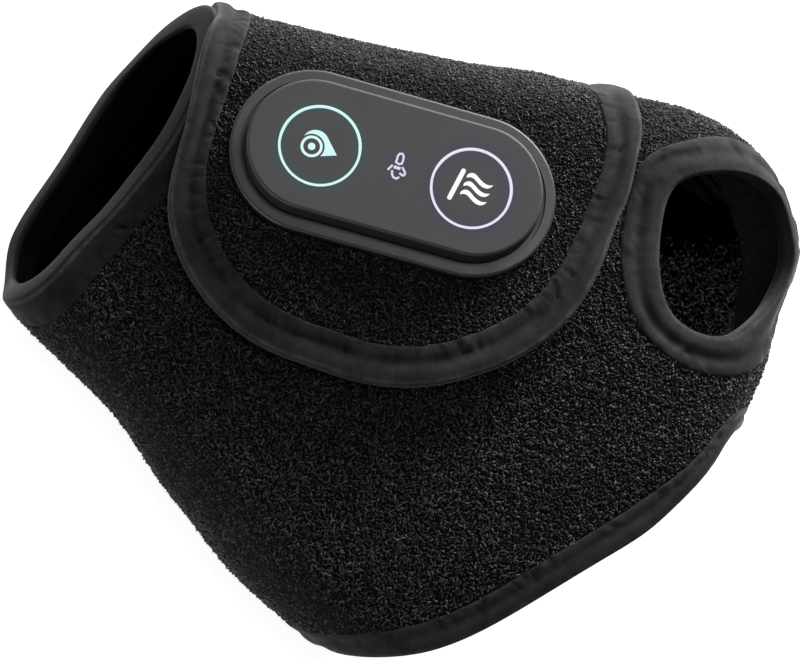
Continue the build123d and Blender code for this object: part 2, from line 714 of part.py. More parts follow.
def charging_port():
    shell = port_block(0, port_start(), PORT_LENGTH)
    shell -= port_block(-PORT_WALL, port_start() + PORT_WALL, PORT_LENGTH)
    tongue_width, tongue_length = PORT_WIDTH - PORT_HEIGHT, PORT_LENGTH - PORT_WALL
    ends = (Align.CENTER, Align.MIN, Align.CENTER)
    tongue = Box(tongue_width, tongue_length, PORT_TONGUE, align=ends)
    return shell + Pos(0, port_start() + PORT_WALL / 2, port_middle()) * tongue


def in_module(shape):
    """Moves what is modelled in the module's own axes to its seat on the crest."""
    shapes = shape if isinstance(shape, list) else [shape]
    moved = [module_plane() * item for item in shapes]
    return moved[0] if len(moved) == 1 else Compound(moved)


def build():
    massage_x, heat_x = button_places()
    wrap = {
        "wrap_shell": wrap_shell(),
        "inner_lining": inner_lining(),
        "heating_film": heating_film(),
        "heating_trace": heating_trace(),
        "temperature_sensor": temperature_sensor(),
        "forearm_edge_binding": forearm_edge_binding(),
        "hand_edge_binding": hand_edge_binding(),
        "thumb_hole_binding": thumb_hole_binding(),
        "flap_root": flap_root(),
        "flap_panel": flap_panel(),
        "flap_edge_binding": flap_edge_binding(),
        "hook_patch": hook_patch(),
    }
    module = {
        "base_housing": base_housing(),
        "clamp_plate": clamp_plate(),
        "housing_screws": housing_screws(),
        "cover_gasket": cover_gasket(),
        "top_cover": top_cover(),
        "massage_ring_light": light_ring(massage_x),
        "heat_ring_light": light_ring(heat_x),
        "massage_button": button(massage_x, drop_glyph),
        "heat_button": button(heat_x, heat_glyph),
        "massage_icon": icon(massage_x, drop_glyph),
        "heat_icon": icon(heat_x, heat_glyph),
        "wrist_icon": icon(0, wrist_glyph),
        "circuit_board": circuit_board(),
        "tact_switches": tact_switches(),
        "ring_leds": ring_leds(),
        "control_chip": control_chip(),
        "battery_pack": battery_pack(),
        "motor_can": motor_can(),
        "motor_weight": motor_weight(),
        "charging_port": charging_port(),
    }
    return wrap | {name: in_module(shape) for name, shape in module.items()}


def hinge_facts():
    """Point and direction of the flap's hinge line, on the outer side of the upper fold."""
    reach = FOLD_REACH + FLAP_TOP
    a = radians(FOLD_ANGLE)
    point = (reach * cos(a), reach * sin(a), HINGE_HEIGHT - HINGE_GAP / 2)
    return point, (sin(a), -cos(a), 0)


def main():
    os.makedirs("parts", exist_ok=True)
    for name, shape in build().items():
        export_step(shape, f"parts/{name}.step")
    print("hinge line", hinge_facts())
    print("module axes", module_plane())


main()
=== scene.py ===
import bpy
import math
import numpy as np
from mathutils import Matrix, Vector


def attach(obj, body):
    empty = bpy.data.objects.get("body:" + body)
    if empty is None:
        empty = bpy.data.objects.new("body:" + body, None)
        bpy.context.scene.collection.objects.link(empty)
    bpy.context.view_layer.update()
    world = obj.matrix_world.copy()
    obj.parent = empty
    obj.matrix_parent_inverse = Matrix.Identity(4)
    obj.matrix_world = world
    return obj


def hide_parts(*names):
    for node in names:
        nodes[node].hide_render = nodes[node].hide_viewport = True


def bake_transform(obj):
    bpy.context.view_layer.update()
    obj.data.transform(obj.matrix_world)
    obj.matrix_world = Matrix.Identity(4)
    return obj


# Heated wrist wrap: a fleece tube with bound edges, a hinged flap and its control module.
# Shapes are worked out in millimetres and written to the meshes in metres.

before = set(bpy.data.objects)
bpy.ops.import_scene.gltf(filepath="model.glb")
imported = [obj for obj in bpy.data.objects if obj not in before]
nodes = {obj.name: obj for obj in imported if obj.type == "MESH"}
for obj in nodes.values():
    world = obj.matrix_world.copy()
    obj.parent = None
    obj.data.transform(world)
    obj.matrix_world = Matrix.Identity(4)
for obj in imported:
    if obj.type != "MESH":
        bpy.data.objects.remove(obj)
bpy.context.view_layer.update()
metre, perSquareMetre = 0.001, 1e6
print("frame loaded,", len(nodes), "parts")


# Camera, light and table

def makeCamera():
    look = {"lens": 100, "sensor": 36, "place": (-0.029449, -0.136238, 0.589103),
            "back": (-0.0958458, -0.190809, 0.9769368), "roll": 33.0}
    data = bpy.data.cameras.new("camera")
    data.lens, data.sensor_width = look["lens"], look["sensor"]
    data.clip_start, data.clip_end = 0.01, 20
    camera = bpy.data.objects.new("camera", data)
    bpy.context.scene.collection.objects.link(camera)
    back = Vector(look["back"]).normalized()
    level = (Vector((1, 0, 0)) - back * back.x).normalized()
    rise = back.cross(level)
    roll = math.radians(look["roll"])
    right = level * math.cos(roll) + rise * math.sin(roll)
    up = back.cross(right)
    camera.rotation_mode = "QUATERNION"
    camera.rotation_quaternion = Matrix((right, up, back)).transposed().to_quaternion()
    camera.location = look["place"]
    bpy.context.scene.camera = camera
    return right, up


# Softboxes by their reach away from the camera and to its right, and their height, in metres
softboxes = {
    "softboxKey": {"far": 0.62, "side": 0.5, "height": 0.27, "size": (0.5, 0.3), "power": 12.8},
    "softboxFar": {"far": 0.8, "side": -0.2, "height": 0.32, "size": (0.8, 0.3), "power": 2.0},
    "softboxNear": {"far": -0.5, "side": -0.5, "height": 0.06, "size": (0.5, 0.08), "power": 1.3},
    "softboxTop": {"far": 0.1, "side": 0.1, "height": 1.1, "size": (0.4, 0.4), "power": 2.0},
}
light = {"aim": (0.01, -0.01, 0.03), "world": 0.025, "floor": 0.8, "floorGlow": 0.92}


def addSoftbox(name, spot, size, power):
    data = bpy.data.lights.new(name, "AREA")
    data.shape, data.size, data.size_y = "RECTANGLE", size[0], size[1]
    data.energy = power
    softbox = bpy.data.objects.new(name, data)
    bpy.context.scene.collection.objects.link(softbox)
    softbox.location = spot
    softbox.rotation_mode = "QUATERNION"
    softbox.rotation_quaternion = (Vector(light["aim"]) - spot).to_track_quat("-Z", "Y")


def flatWay(vector):
    return Vector((vector.x, vector.y, 0)).normalized()


cameraRight, cameraUp = makeCamera()
farWay, sideWay = flatWay(cameraUp), flatWay(cameraRight)
for boxName, box in softboxes.items():
    boxPlace = farWay * box["far"] + sideWay * box["side"] + Vector((0, 0, box["height"]))
    addSoftbox(boxName, boxPlace, box["size"], box["power"])


# Small helpers for node trees: a value is either the output of another node or a constant

def feed(tree, socket, value):
    if isinstance(value, bpy.types.NodeSocket):
        tree.links.new(value, socket)
    else:
        socket.default_value = value


# Inputs are given by their label, with _ for a space, or by their number, as i0
def addNode(tree, kind, settings=None, **inputs):
    made = tree.nodes.new(kind)
    for key, value in (settings or {}).items():
        setattr(made, key, value)
    for key, value in inputs.items():
        byNumber = key[0] == "i" and key[1:].isdigit()
        feed(tree, made.inputs[int(key[1:]) if byNumber else key.replace("_", " ")], value)
    return made


def ramp(tree, factor, stops):
    made = tree.nodes.new("ShaderNodeValToRGB")
    made.color_ramp.elements[0].position, made.color_ramp.elements[1].position = stops[0][0], stops[-1][0]
    for position, _ in stops[1:-1]:
        made.color_ramp.elements.new(position)
    for element, (position, tone) in zip(made.color_ramp.elements, stops):
        element.position = position
        colour = tone if isinstance(tone, tuple) else (tone, tone, tone)
        element.color = (*colour, 1)
    tree.links.new(factor, made.inputs["Fac"])
    return made.outputs["Color"]


def newMaterial(name, **values):
    material = bpy.data.materials.new(name)
    material.use_nodes = True
    tree = material.node_tree
    surface = tree.nodes["Principled BSDF"]
    for key, value in values.items():
        surface.inputs[key.replace("_", " ")].default_value = value
    return material, tree, surface


def objectPlace(tree):
    return addNode(tree, "ShaderNodeTexCoord").outputs["Object"]


def noise(tree, spot, scale, detail=2.0, rough=0.5):
    made = addNode(tree, "ShaderNodeTexNoise", Vector=spot, Scale=scale, Detail=detail, Roughness=rough)
    return made.outputs["Fac"]


def addBump(tree, surface, height, strength, distance, under=None):
    inputs = {"Height": height, "Strength": strength, "Distance": distance}
    if under is not None:
        inputs["Normal"] = under
    normal = addNode(tree, "ShaderNodeBump", **inputs).outputs["Normal"]
    tree.links.new(normal, surface.inputs["Normal"])
    return normal


def maths(tree, operation, a, b=0.0):
    return addNode(tree, "ShaderNodeMath", {"operation": operation}, i0=a, i1=b).outputs[0]


def mixColour(tree, factor, a, b, blend="MIX"):
    made = tree.nodes.new("ShaderNodeMix")
    made.data_type, made.blend_type = "RGBA", blend
    feed(tree, made.inputs[0], factor)
    for number, colour in ((6, a), (7, b)):
        feed(tree, made.inputs[number], (*colour, 1) if isinstance(colour, tuple) else colour)
    return made.outputs[2]


def paint(tree, surface, colour):
    tree.links.new(colour, surface.inputs["Base Color"])


# Floor and surroundings

def makeFloor():
    table = {"reach": 4.0, "drop": 0.0002}
    corners = [(x * table["reach"], y * table["reach"], 0) for x, y in ((-1, -1), (1, -1), (1, 1), (-1, 1))]
    mesh = bpy.data.meshes.new("table")
    mesh.from_pydata(corners, [], [(0, 1, 2, 3)])
    floor = bpy.data.objects.new("table", mesh)
    bpy.context.scene.collection.objects.link(floor)
    floor.location.z = -table["drop"]
    material = bpy.data.materials.new("paleTable")
    material.use_nodes = True
    tree = material.node_tree
    tree.nodes.clear()
    rays = addNode(tree, "ShaderNodeLightPath").outputs
    seen = maths(tree, "MAXIMUM", rays["Is Camera Ray"], rays["Is Glossy Ray"])
    seen = maths(tree, "MAXIMUM", seen, rays["Is Transmission Ray"])
    tone = light["floor"]
    grain = ramp(tree, noise(tree, objectPlace(tree), 40.0), [(0.3, tone * 0.985), (0.7, tone)])
    matt = addNode(tree, "ShaderNodeBsdfDiffuse", Color=grain).outputs[0]
    strength = maths(tree, "MULTIPLY", seen, light["floorGlow"])
    glow = addNode(tree, "ShaderNodeEmission", Strength=strength).outputs[0]
    both = addNode(tree, "ShaderNodeAddShader", i0=matt, i1=glow).outputs[0]
    addNode(tree, "ShaderNodeOutputMaterial", Surface=both)
    floor.data.materials.append(material)


# A world that is white to glossy rays as well would wash out the black cloth
def makeWorld():
    world = bpy.data.worlds.new("studio")
    bpy.context.scene.world = world
    world.use_nodes = True
    tree = world.node_tree
    tree.nodes.clear()
    rays = addNode(tree, "ShaderNodeLightPath").outputs
    seen = maths(tree, "MAXIMUM", rays["Is Camera Ray"], rays["Is Transmission Ray"])
    strength = maths(tree, "ADD", light["world"], maths(tree, "MULTIPLY", seen, 1.0 - light["world"]))
    back = addNode(tree, "ShaderNodeBackground", Strength=strength)
    back.inputs["Color"].default_value = (1, 1, 1, 1)
    addNode(tree, "ShaderNodeOutputWorld", Surface=back.outputs[0])


makeFloor()
makeWorld()
bpy.context.scene.view_settings.view_transform = "Standard"
print("camera, light and table placed")


# The form of the wrap: distances to its rounded, crowned tube and to its cut edges, in mm

tube = {"sides": [(113.3, 33.5, 37.0), (10.0, 110.8, 25.0), (-90.0, 105.0, 80.0), (-106.5, 89.0, 25.0),
                  (180.0, 105.0, 25.0)],
        "crest": 49.0, "slope": 6.0, "crownRadius": 430.0, "topRound": 19.0, "bottomRound": 15.0,
        "fleece": 2.6, "skin": 4.5}
rim = {"x": -73.0, "slant": 25.5}
handEdge = {"radius": 184.8, "x": -75.4, "y": 21.9, "height": 55.0, "lean": 12.0 / 55.0, "notchY": -2.0,
            "notchRound": 20.0, "notchRise": 6.0, "riseFrom": 24.0, "riseTo": 54.0}
thumbHole = {"place": (83.3, 30.0, 55.0), "turn": 11.0, "tilt": 12.0, "short": 18.2, "long": 22.25,
             "lowest": 22}
flap = {"sides": [(113.3, 55.6, 14.0), (195.1, 52.8, 45.1), (-77.6, 50.3, 49.4), (-39.4, 52.9, 51.4),
                  (8.7, 57.0, 40.6), (36.0, 64.3, 14.0)],
        "under": 2.1, "top": 6.1, "rootBottom": 7.8, "bendStart": 17.0, "bendEnd": 23.0}
seat = {"place": np.array([1.5, 0, 49.158]), "x": np.array([0.953073, 0.285688, 0.100172]),
        "y": np.array([-0.284123, 0.958323, -0.029863]), "z": np.array([-0.104528, 0, 0.994522]),
            "rimLength": 82.4, "rimWidth": 41.2}
foldAngle, foldReach = tube["sides"][0][:2]


# Inset in mm that stands for nowhere near the edge
farOff = 99.0


def unit(vectors):
    return vectors / np.maximum(np.linalg.norm(vectors, axis=-1, keepdims=True), 1e-12)


def smooth(value, low, high):
    share = np.clip((value - low) / (high - low), 0, 1)
    return share * share * (3 - 2 * share)


# Distance in plan to a convex outline, whose sides each have an angle, a reach and a corner radius
def planField(points, sides):
    angles = np.radians([side[0] for side in sides])
    normals = np.stack([np.cos(angles), np.sin(angles)], 1)
    reaches = np.array([side[1] for side in sides])
    beyond = points[:, :2] @ normals.T - reaches
    nearest = beyond.argmax(1)
    distance, normal = beyond.max(1), normals[nearest]
    for i, side in enumerate(sides):
        j = (i + 1) % len(sides)
        pair = normals[[i, j]]
        centre = np.linalg.solve(pair, reaches[[i, j]] - side[2])
        away = points[:, :2] - centre
        inCorner = ((away @ np.linalg.inv(pair)) > 0).all(1) & ((nearest == i) | (nearest == j))
        length = np.linalg.norm(away, axis=1)
        distance = np.where(inCorner, length - side[2], distance)
        normal = np.where(inCorner[:, None], unit(away), normal)
    return distance, np.column_stack([normal, np.zeros(len(points))])


# Distance to two faces that meet in a round edge
def rounded(first, firstNormal, second, secondNormal, radius):
    a, b = first + radius, second + radius
    lean = (firstNormal * secondNormal).sum(1)
    spread = 1 - lean * lean
    shareA, shareB = (a - lean * b) / spread, (b - lean * a) / spread
    away = shareA[:, None] * firstNormal + shareB[:, None] * secondNormal
    corner = (shareA > 0) & (shareB > 0)
    distance = np.where(corner, np.linalg.norm(away, axis=1), np.maximum(a, b)) - radius
    flat = np.where((a > b)[:, None], firstNormal, secondNormal)
    return distance, np.where(corner[:, None], unit(away), flat)


def tubeField(points):
    side, sideNormal = planField(points, tube["sides"])
    slope = math.radians(tube["slope"])
    along = np.array([math.cos(slope), 0, math.sin(slope)])
    up = np.array([-math.sin(slope), 0, math.cos(slope)])
    away = points - (np.array([0, 0, tube["crest"]]) - tube["crownRadius"] * up)
    away = away - (away @ along)[:, None] * along
    crown, crownNormal = np.linalg.norm(away, axis=1) - tube["crownRadius"], unit(away)
    down = np.tile([0.0, 0.0, -1.0], (len(points), 1))
    upper, upperNormal = rounded(side, sideNormal, crown, crownNormal, tube["topRound"])
    lower, lowerNormal = rounded(side, sideNormal, -points[:, 2], down, tube["bottomRound"])
    return np.maximum(upper, lower), np.where((upper > lower)[:, None], upperNormal, lowerNormal)


# Moves points to a level above or below the tube's face
def toLevel(points, level, rounds=5):
    for _ in range(rounds):
        distance, normal = tubeField(points)
        points = points - (distance - level)[:, None] * normal
    return points


def rimInset(points):
    slant = math.radians(rim["slant"])
    return (points[:, 0] - rim["x"]) * math.cos(slant) - points[:, 2] * math.sin(slant)


def handInset(points):
    centre = handEdge["x"] + (points[:, 2] - handEdge["height"]) * handEdge["lean"]
    away = np.column_stack([points[:, 0] - centre, points[:, 1] - handEdge["y"]])
    arc = handEdge["radius"] - np.linalg.norm(away, axis=1)
    climb = handEdge["notchRise"] * smooth(points[:, 2], handEdge["riseFrom"], handEdge["riseTo"])
    line = points[:, 1] - handEdge["notchY"] - climb
    lineNormal = np.tile([0.0, 1.0], (len(points), 1))
    return rounded(arc, -unit(away), line, lineNormal, handEdge["notchRound"])[0]


def holeAxes():
    turn, tilt = math.radians(thumbHole["turn"]), math.radians(thumbHole["tilt"])
    spin = np.array([[math.cos(turn), -math.sin(turn), 0], [math.sin(turn), math.cos(turn), 0], [0, 0, 1]])
    lean = np.array([[math.cos(tilt), 0, math.sin(tilt)], [0, 1, 0], [-math.sin(tilt), 0, math.cos(tilt)]])
    return lean @ spin


def thumbInset(points):
    local = (points - np.array(thumbHole["place"])) @ holeAxes()
    inset = np.linalg.norm(local[:, :2], axis=1) - thumbHole["long"]
    for _ in range(8):
        a, b = thumbHole["short"] + inset, thumbHole["long"] + inset
        a, b = np.maximum(a, 1.0), np.maximum(b, 1.0)
        value = (local[:, 0] / a) ** 2 + (local[:, 1] / b) ** 2 - 1
        slope = -2 * (local[:, 0] ** 2 / a ** 3 + local[:, 1] ** 2 / b ** 3)
        inset = inset - value / np.minimum(slope, -1e-6)
    return inset


# The hole's own axis also meets the underside, which has no hole
def thumbInsetUpper(points):
    return np.where(points[:, 2] > thumbHole["lowest"], thumbInset(points), farOff)


def flapInset(points):
    return -planField(points, flap["sides"])[0]


def moduleInset(points, length, width):
    local = points - seat["place"]
    along, across = local @ seat["x"], local @ seat["y"]
    half = (length - width) / 2
    return np.hypot(np.maximum(np.abs(along) - half, 0), across) - width / 2


def gradient(field, points):
    step = 0.02
    ways = np.eye(3) * step
    return np.stack([(field(points + way) - field(points - way)) / (2 * step) for way in ways], 1)


# Moves points to an inset from a cut edge and a level under the tube's face
def settle(points, edge, inset, level, rounds=6):
    for _ in range(rounds):
        surface, normal = tubeField(points)
        cut, across = edge(points), gradient(edge, points)
        aa, ab = (across * across).sum(1), (across * normal).sum(1)
        rest, over = cut - inset, surface - level
        spread = np.maximum(aa - ab * ab, 1e-3)
        first, second = (rest - ab * over) / spread, (aa * over - ab * rest) / spread
        points = points - first[:, None] * across - second[:, None] * normal
    return points


# Path along a cut edge from the start, back to it or down to the floor
def traceEdge(edge, start, level, closed, way=1, floor=None):
    step, firstSteps, mostSteps = 0.6, 20, 4000
    point = settle(np.array([start], float), edge, 0.0, level)
    path = [point[0]]
    last = None
    for count in range(mostSteps):
        along = np.cross(gradient(edge, point)[0], tubeField(point)[1][0]) * way
        along = along / np.linalg.norm(along)
        if last is not None and along @ last < 0:
            along = -along
        last = along
        point = settle(point + along * step, edge, 0.0, level, 2)
        if closed and count > firstSteps and np.linalg.norm(point[0] - path[0]) < step:
            break
        if floor is not None and count > firstSteps and point[0][2] < floor:
            break
        path.append(point[0])
    return np.array(path)


# Evenly spaced points of a path, their distance along it, and its length
def resample(path, closed, spacing):
    points = np.vstack([path, path[:1]]) if closed else path
    lengths = np.concatenate([[0], np.cumsum(np.linalg.norm(np.diff(points, axis=0), axis=1))])
    count = max(int(round(lengths[-1] / spacing)), 8)
    marks = np.linspace(0, lengths[-1], count + 1)
    even = np.stack([np.interp(marks, lengths, points[:, k]) for k in range(3)], 1)
    return (even[:-1] if closed else even), (marks[:-1] if closed else marks), lengths[-1]


# Where real cloth leaves the drafted form: slack at the fold, a fuller thumb corner, a soft rim.
# Each pull has its place, its reach along each axis, and how far it moves the cloth there.

drape = [
    ((-2, 44, 40), (34, 14, 22), (0.9, -2.6, -0.4)),
    ((78, 42, 40), (26, 20, 30), (0.5, 1.7, 0.5)),
    ((-62, 10, 26), (13, 18, 34), (-1.5, 7.0, 0.0)),
    ((-55, -22, 44), (16, 22, 18), (3.6, 0.0, 0.5)),
    ((-74, -72, 6), (14, 18, 20), (4.6, 0.0, 0.0)),
    ((-76, -35, 6), (12, 24, 20), (1.6, 0.1, 0.0)),
    ((-76, -2, 6), (12, 16, 22), (1.0, -0.6, 0.0)),
    ((-26, -84, 24), (26, 14, 20), (0.3, 2.0, 0.0)),
    ((70, -88, 47), (30, 30, 20), (2.3, -1.9, 0.0)),
    ((62, 62, 40), (18, 12, 18), (-0.5, 0.9, 0.0)),
    ((-22, -85, 10), (20, 16, 20), (0.4, 0.9, 0.0)),
    ((19, -98, 12), (24, 16, 24), (-0.4, -1.4, 0.0)),
    ((50, -104, 12), (18, 18, 24), (0.3, 1.2, 0.0)),
    ((45, 56, 42), (16, 14, 24), (-0.9, 2.0, 0.0)),
    ((107, -21, 57), (14, 16, 30), (1.0, -0.2, 0.0)),
    ((101, -41, 57), (14, 14, 30), (0.9, -0.2, 0.0)),
    ((108, 30, 42), (9, 16, 16), (-1.5, -0.7, 0.0)),
    ((61, 38, 57), (12, 12, 14), (-4.6, 1.0, 0.6)),
    ((78, 9, 57), (10, 8, 10), (-0.2, -1.0, 0.0)),
    ((96, 20, 57), (8, 8, 10), (-1.6, 0.2, 0.0)),
    ((96, 37, 57), (7, 9, 9), (1.8, 1.6, 0.0)),
    ((86, 47, 56), (9, 7, 9), (0.6, 2.6, 0.0)),
    ((-36, -80, 10), (16, 14, 20), (0.4, 0.6, 0.0)),
    ((52, -108, 8), (14, 10, 14), (0.8, -1.2, 0.0)),
    ((-56, -43, 38), (12, 14, 12), (1.5, -0.15, 0.0)),
    ((112, 0, 45), (9, 9, 18), (-1.2, -0.5, 0.0)),
]
flapDrape = [
    ((-64, 14, 38), (9, 12, 18), (2.6, -4.1, 0.0)),
    ((-58, 17, 40), (16, 12, 18), (1.5, -2.4, 0.0)),
    ((-33, 25, 40), (12, 10, 14), (0.8, -1.3, 0.0)),
    ((-19, 31, 41), (16, 12, 16), (1.2, -1.9, 0.0)),
    ((34, 56, 42), (16, 13, 16), (2.5, -3.7, 0.0)),
    ((57, 20, 60), (8, 9, 10), (-1.2, 0.2, 0.0)),
    ((58, 8, 62), (9, 14, 10), (-1.0, 0.0, 0.0)),
]
slack = {"fall": 1.4, "ripple": 0.9, "clear": (1.0, 12.0), "below": (12, 20), "grounded": 12.0}


# The cloth under the module and on the table stays where it is
def draped(points, extra=()):
    moved = points.copy()
    for centre, reach, move in [*drape, *extra]:
        away = (points - np.array(centre)) / np.array(reach)
        moved += np.exp(-slack["fall"] * (away * away).sum(1))[:, None] * np.array(move)
    x, y, z = points.T
    ripple = (0.32 * np.sin(0.115 * x + 0.8 * np.sin(0.07 * y + 0.4)) * np.sin(0.093 * y + 1.3)
              + 0.18 * np.sin(0.21 * y - 0.16 * x + 0.05 * z))
    moved += (ripple * slack["ripple"])[:, None] * tubeField(points)[1]
    free = smooth(moduleInset(points, seat["rimLength"], seat["rimWidth"]), *slack["clear"])
    free = np.maximum(free, smooth(seat["place"][2] - z, *slack["below"]))
    shift = (moved - points) * free[:, None]
    shift[:, 2] *= smooth(z, 0.0, slack["grounded"])
    result = points + shift
    result[:, 2] = np.maximum(result[:, 2], 0.0)
    return result


# Share of the tape's full width that shows: the forearm end and the notch have narrow hems

hems = {"forearm": 0.26, "forearmEnd": (15, 45), "hand": 0.72, "notch": 0.3, "notchPlace": (106, -4, 54),
        "notchReach": (16, 30, 24)}


def forearmSlim(points):
    return 1 - hems["forearm"] * smooth(-points[:, 1], *hems["forearmEnd"])


def handSlim(points):
    away = (points - np.array(hems["notchPlace"])) / np.array(hems["notchReach"])
    return hems["hand"] - hems["notch"] * np.exp(-(away * away).sum(1))


# Mesh helpers

def makeObject(name, points, faces, uv=None):
    mesh = bpy.data.meshes.new(name)
    mesh.from_pydata([tuple(p) for p in np.asarray(points) * metre], [], faces)
    mesh.update()
    mesh.shade_smooth()
    if uv is not None:
        layer = mesh.uv_layers.new(name="lay")
        layer.data.foreach_set("uv", np.asarray(uv, np.float32).ravel())
    made = bpy.data.objects.new(name, mesh)
    bpy.context.scene.collection.objects.link(made)
    return made


def meshPoints(mesh):
    points = np.zeros(len(mesh.vertices) * 3)
    mesh.vertices.foreach_get("co", points)
    return points.reshape(-1, 3) / metre


def evaluated(source, name):
    graph = bpy.context.evaluated_depsgraph_get()
    mesh = bpy.data.meshes.new_from_object(source.evaluated_get(graph), depsgraph=graph)
    mesh.name = name
    return mesh


def writeAttribute(mesh, name, values):
    layer = mesh.attributes.new(name, "FLOAT", "POINT")
    layer.data.foreach_set("value", np.asarray(values, np.float32))


def place(piece, body, slotName, *stands):
    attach(piece, body)
    if stands:
        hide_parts(*stands)
    return piece


def quadFaces(mesh):
    corners = np.zeros(len(mesh.loops), int)
    mesh.loops.foreach_get("vertex_index", corners)
    return [tuple(face) for face in corners.reshape(-1, 4)]


# Faces turned so that the volume they hold is positive
def outward(points, faces):
    total = 0.0
    for face in faces:
        a, b, c = (points[corner] for corner in face)
        total += a @ np.cross(b, c)
    return faces if total > 0 else [tuple(reversed(face)) for face in faces]


# Cloth finishes

fleece = {"ground": (0.0022, 0.0022, 0.0023), "hill": (0.008, 0.0078, 0.008), "low": 0.006, "high": 0.108,
          "knot": 1500.0}


def fleeceGround(name, lift=1.0, sheen=0.2):
    material, tree, surface = newMaterial(name, Roughness=0.95, Specular_IOR_Level=0.5 * sheen,
                                          Sheen_Weight=sheen, Sheen_Roughness=0.5)
    spot = objectPlace(tree)
    knots = addNode(tree, "ShaderNodeTexVoronoi", Vector=spot, Scale=fleece["knot"]).outputs["Distance"]
    worms = noise(tree, spot, 1100.0, 3.0, 0.65)
    patch = noise(tree, spot, 45.0, 2.0)
    shade = maths(tree, "ADD", maths(tree, "MULTIPLY", worms, 0.8), maths(tree, "MULTIPLY", patch, 0.2))
    dark = tuple(tone * lift for tone in fleece["ground"])
    pale = tuple(tone * lift for tone in fleece["hill"])
    glint = tuple(tone * 2.2 for tone in pale)
    paint(tree, surface, ramp(tree, shade, [(0.35, dark), (0.62, pale), (0.78, glint)]))
    under = addBump(tree, surface, worms, 0.8, 0.0004)
    addBump(tree, surface, knots, 0.6, 0.0003, under)
    return material


def pileFinish(name, lift=1.0):
    material, tree, surface = newMaterial(name, Roughness=0.6, Specular_IOR_Level=0.35, Sheen_Weight=0.15,
                                          Sheen_Roughness=0.4)
    tone = addNode(tree, "ShaderNodeAttribute", {"attribute_name": "tone"}).outputs["Fac"]
    spot = objectPlace(tree)
    drift = noise(tree, spot, 30.0, 2.0)
    strand = noise(tree, spot, 4200.0, 1.0)
    clump = noise(tree, spot, 420.0, 2.0)
    # Painted shade: the pile is darker towards the forearm end and lighter towards the hand end, along
    # object X
    across = addNode(tree, "ShaderNodeSeparateXYZ", Vector=spot).outputs["X"]
    tapeNapAndPileShade = maths(tree, "MINIMUM", maths(tree, "MULTIPLY", across, 0.6), 0.04)
    slow = maths(tree, "ADD", maths(tree, "MULTIPLY", drift, 0.3), maths(tree, "MULTIPLY", clump, 0.7))
    slow = maths(tree, "ADD", slow, tapeNapAndPileShade)
    shade = maths(tree, "ADD", maths(tree, "MULTIPLY", tone, 0.55), slow)
    low, high = fleece["low"] * lift, fleece["high"] * lift
    stops = [(0.3, (low, low, low))] + [(at, (high * s, high * s * 0.975, high * s * 0.965)) for at, s in
                                        ((0.68, 0.14), (0.88, 0.45), (1.06, 1.35))]
    dim = maths(tree, "MULTIPLY", strand, 0.35)
    paint(tree, surface, mixColour(tree, dim, ramp(tree, shade, stops), (low, low, low)))
    addBump(tree, surface, strand, 0.4, 0.0001)
    return material


def tapeFinish(name, tone, sheen, spec):
    material, tree, surface = newMaterial(name, Roughness=0.85, Specular_IOR_Level=spec, Sheen_Weight=sheen,
                                          Sheen_Roughness=0.35)
    lay = addNode(tree, "ShaderNodeUVMap", {"uv_map": "lay"}).outputs["UV"]
    spot = objectPlace(tree)
    stretched = addNode(tree, "ShaderNodeMapping", Vector=lay, Scale=(0.9, 0.16, 1.0)).outputs[0]
    brushed = noise(tree, stretched, 1.5, 5.0, 0.65)
    cloud = noise(tree, spot, 210.0, 4.0, 0.6)
    tapeNapAndPileShade = noise(tree, spot, 2600.0, 3.0, 0.7)
    mixed = maths(tree, "ADD", maths(tree, "MULTIPLY", cloud, 0.5), maths(tree, "MULTIPLY", tapeNapAndPileShade, 0.25))
    mixed = maths(tree, "ADD", maths(tree, "MULTIPLY", brushed, 0.25), mixed)
    base = (tone * 1.02, tone * 0.985, tone * 0.955)
    dark, pale = (tuple(t * share for t in base) for share in (0.5, 1.5))
    suede = ramp(tree, mixed, [(0.37, dark), (0.5, base), (0.64, pale)])
    shade = addNode(tree, "ShaderNodeAttribute", {"attribute_name": "shade"}).outputs["Fac"]
    paint(tree, surface, mixColour(tree, shade, (0.0, 0.0, 0.0), suede))
    under = addBump(tree, surface, tapeNapAndPileShade, 0.4, 0.00015)
    addBump(tree, surface, brushed, 0.3, 0.0003, under)
    return material


bodyFleece = fleeceGround("bodyFleece")
flapFleece = fleeceGround("flapFleece", 1.1)
flapUnder = fleeceGround("flapUnder", 2.4, 0.15)
# Painted shade: the lining fleece darkened to near black inside the tube
shadedLiningFleece = fleeceGround("shadedLiningFleece", 0.15, 0.02)
pileFibre = pileFinish("pileFibre")
# Painted light: the lining pile lightened 2.8 times, where it shows through the thumb hole
litLiningFibre = pileFinish("litLiningFibre", 2.8)
edgeTape = tapeFinish("edgeTape", 0.084, 0.2, 0.2)
# Painted shade: the inner side of the same tape, made near black
shadedInsideTape = tapeFinish("shadedInsideTape", 0.002, 0.0, 0.06)
# Painted light: the thumb tape's inner side as fleece lightened eightfold where it shows through the thumb
# hole
litHemFleece = fleeceGround("litHemFleece", 8.0, 0.02)


# Tube of fleece and its lining

shell = {"voxel": 1.4, "margin": 0.5, "gap": 0.2}


def evenShell():
    source = bpy.data.objects.new("draft", nodes["wrap_shell"].data.copy())
    bpy.context.scene.collection.objects.link(source)
    weld = source.modifiers.new("weld", "WELD")
    weld.merge_threshold = 1e-5
    even = source.modifiers.new("even", "REMESH")
    even.mode, even.voxel_size = "VOXEL", shell["voxel"] * metre
    mesh = evaluated(source, "draft")
    points, faces = meshPoints(mesh), quadFaces(mesh)
    bpy.data.objects.remove(source)
    return points, faces


def shellPiece(name, points, faces, outer, inner, finish):
    isOuter = tubeField(points)[0] > -tube["fleece"] / 2
    moved = toLevel(points, np.where(isOuter, outer, inner), 7)
    for cut in (rimInset, handInset, thumbInsetUpper):
        short = shell["margin"] - cut(moved)
        moved = moved + np.where(short > 0, short, 0)[:, None] * unit(gradient(cut, moved))
    made = makeObject(name, draped(moved), faces)
    made.data.materials.append(finish)
    return made, moved, isOuter


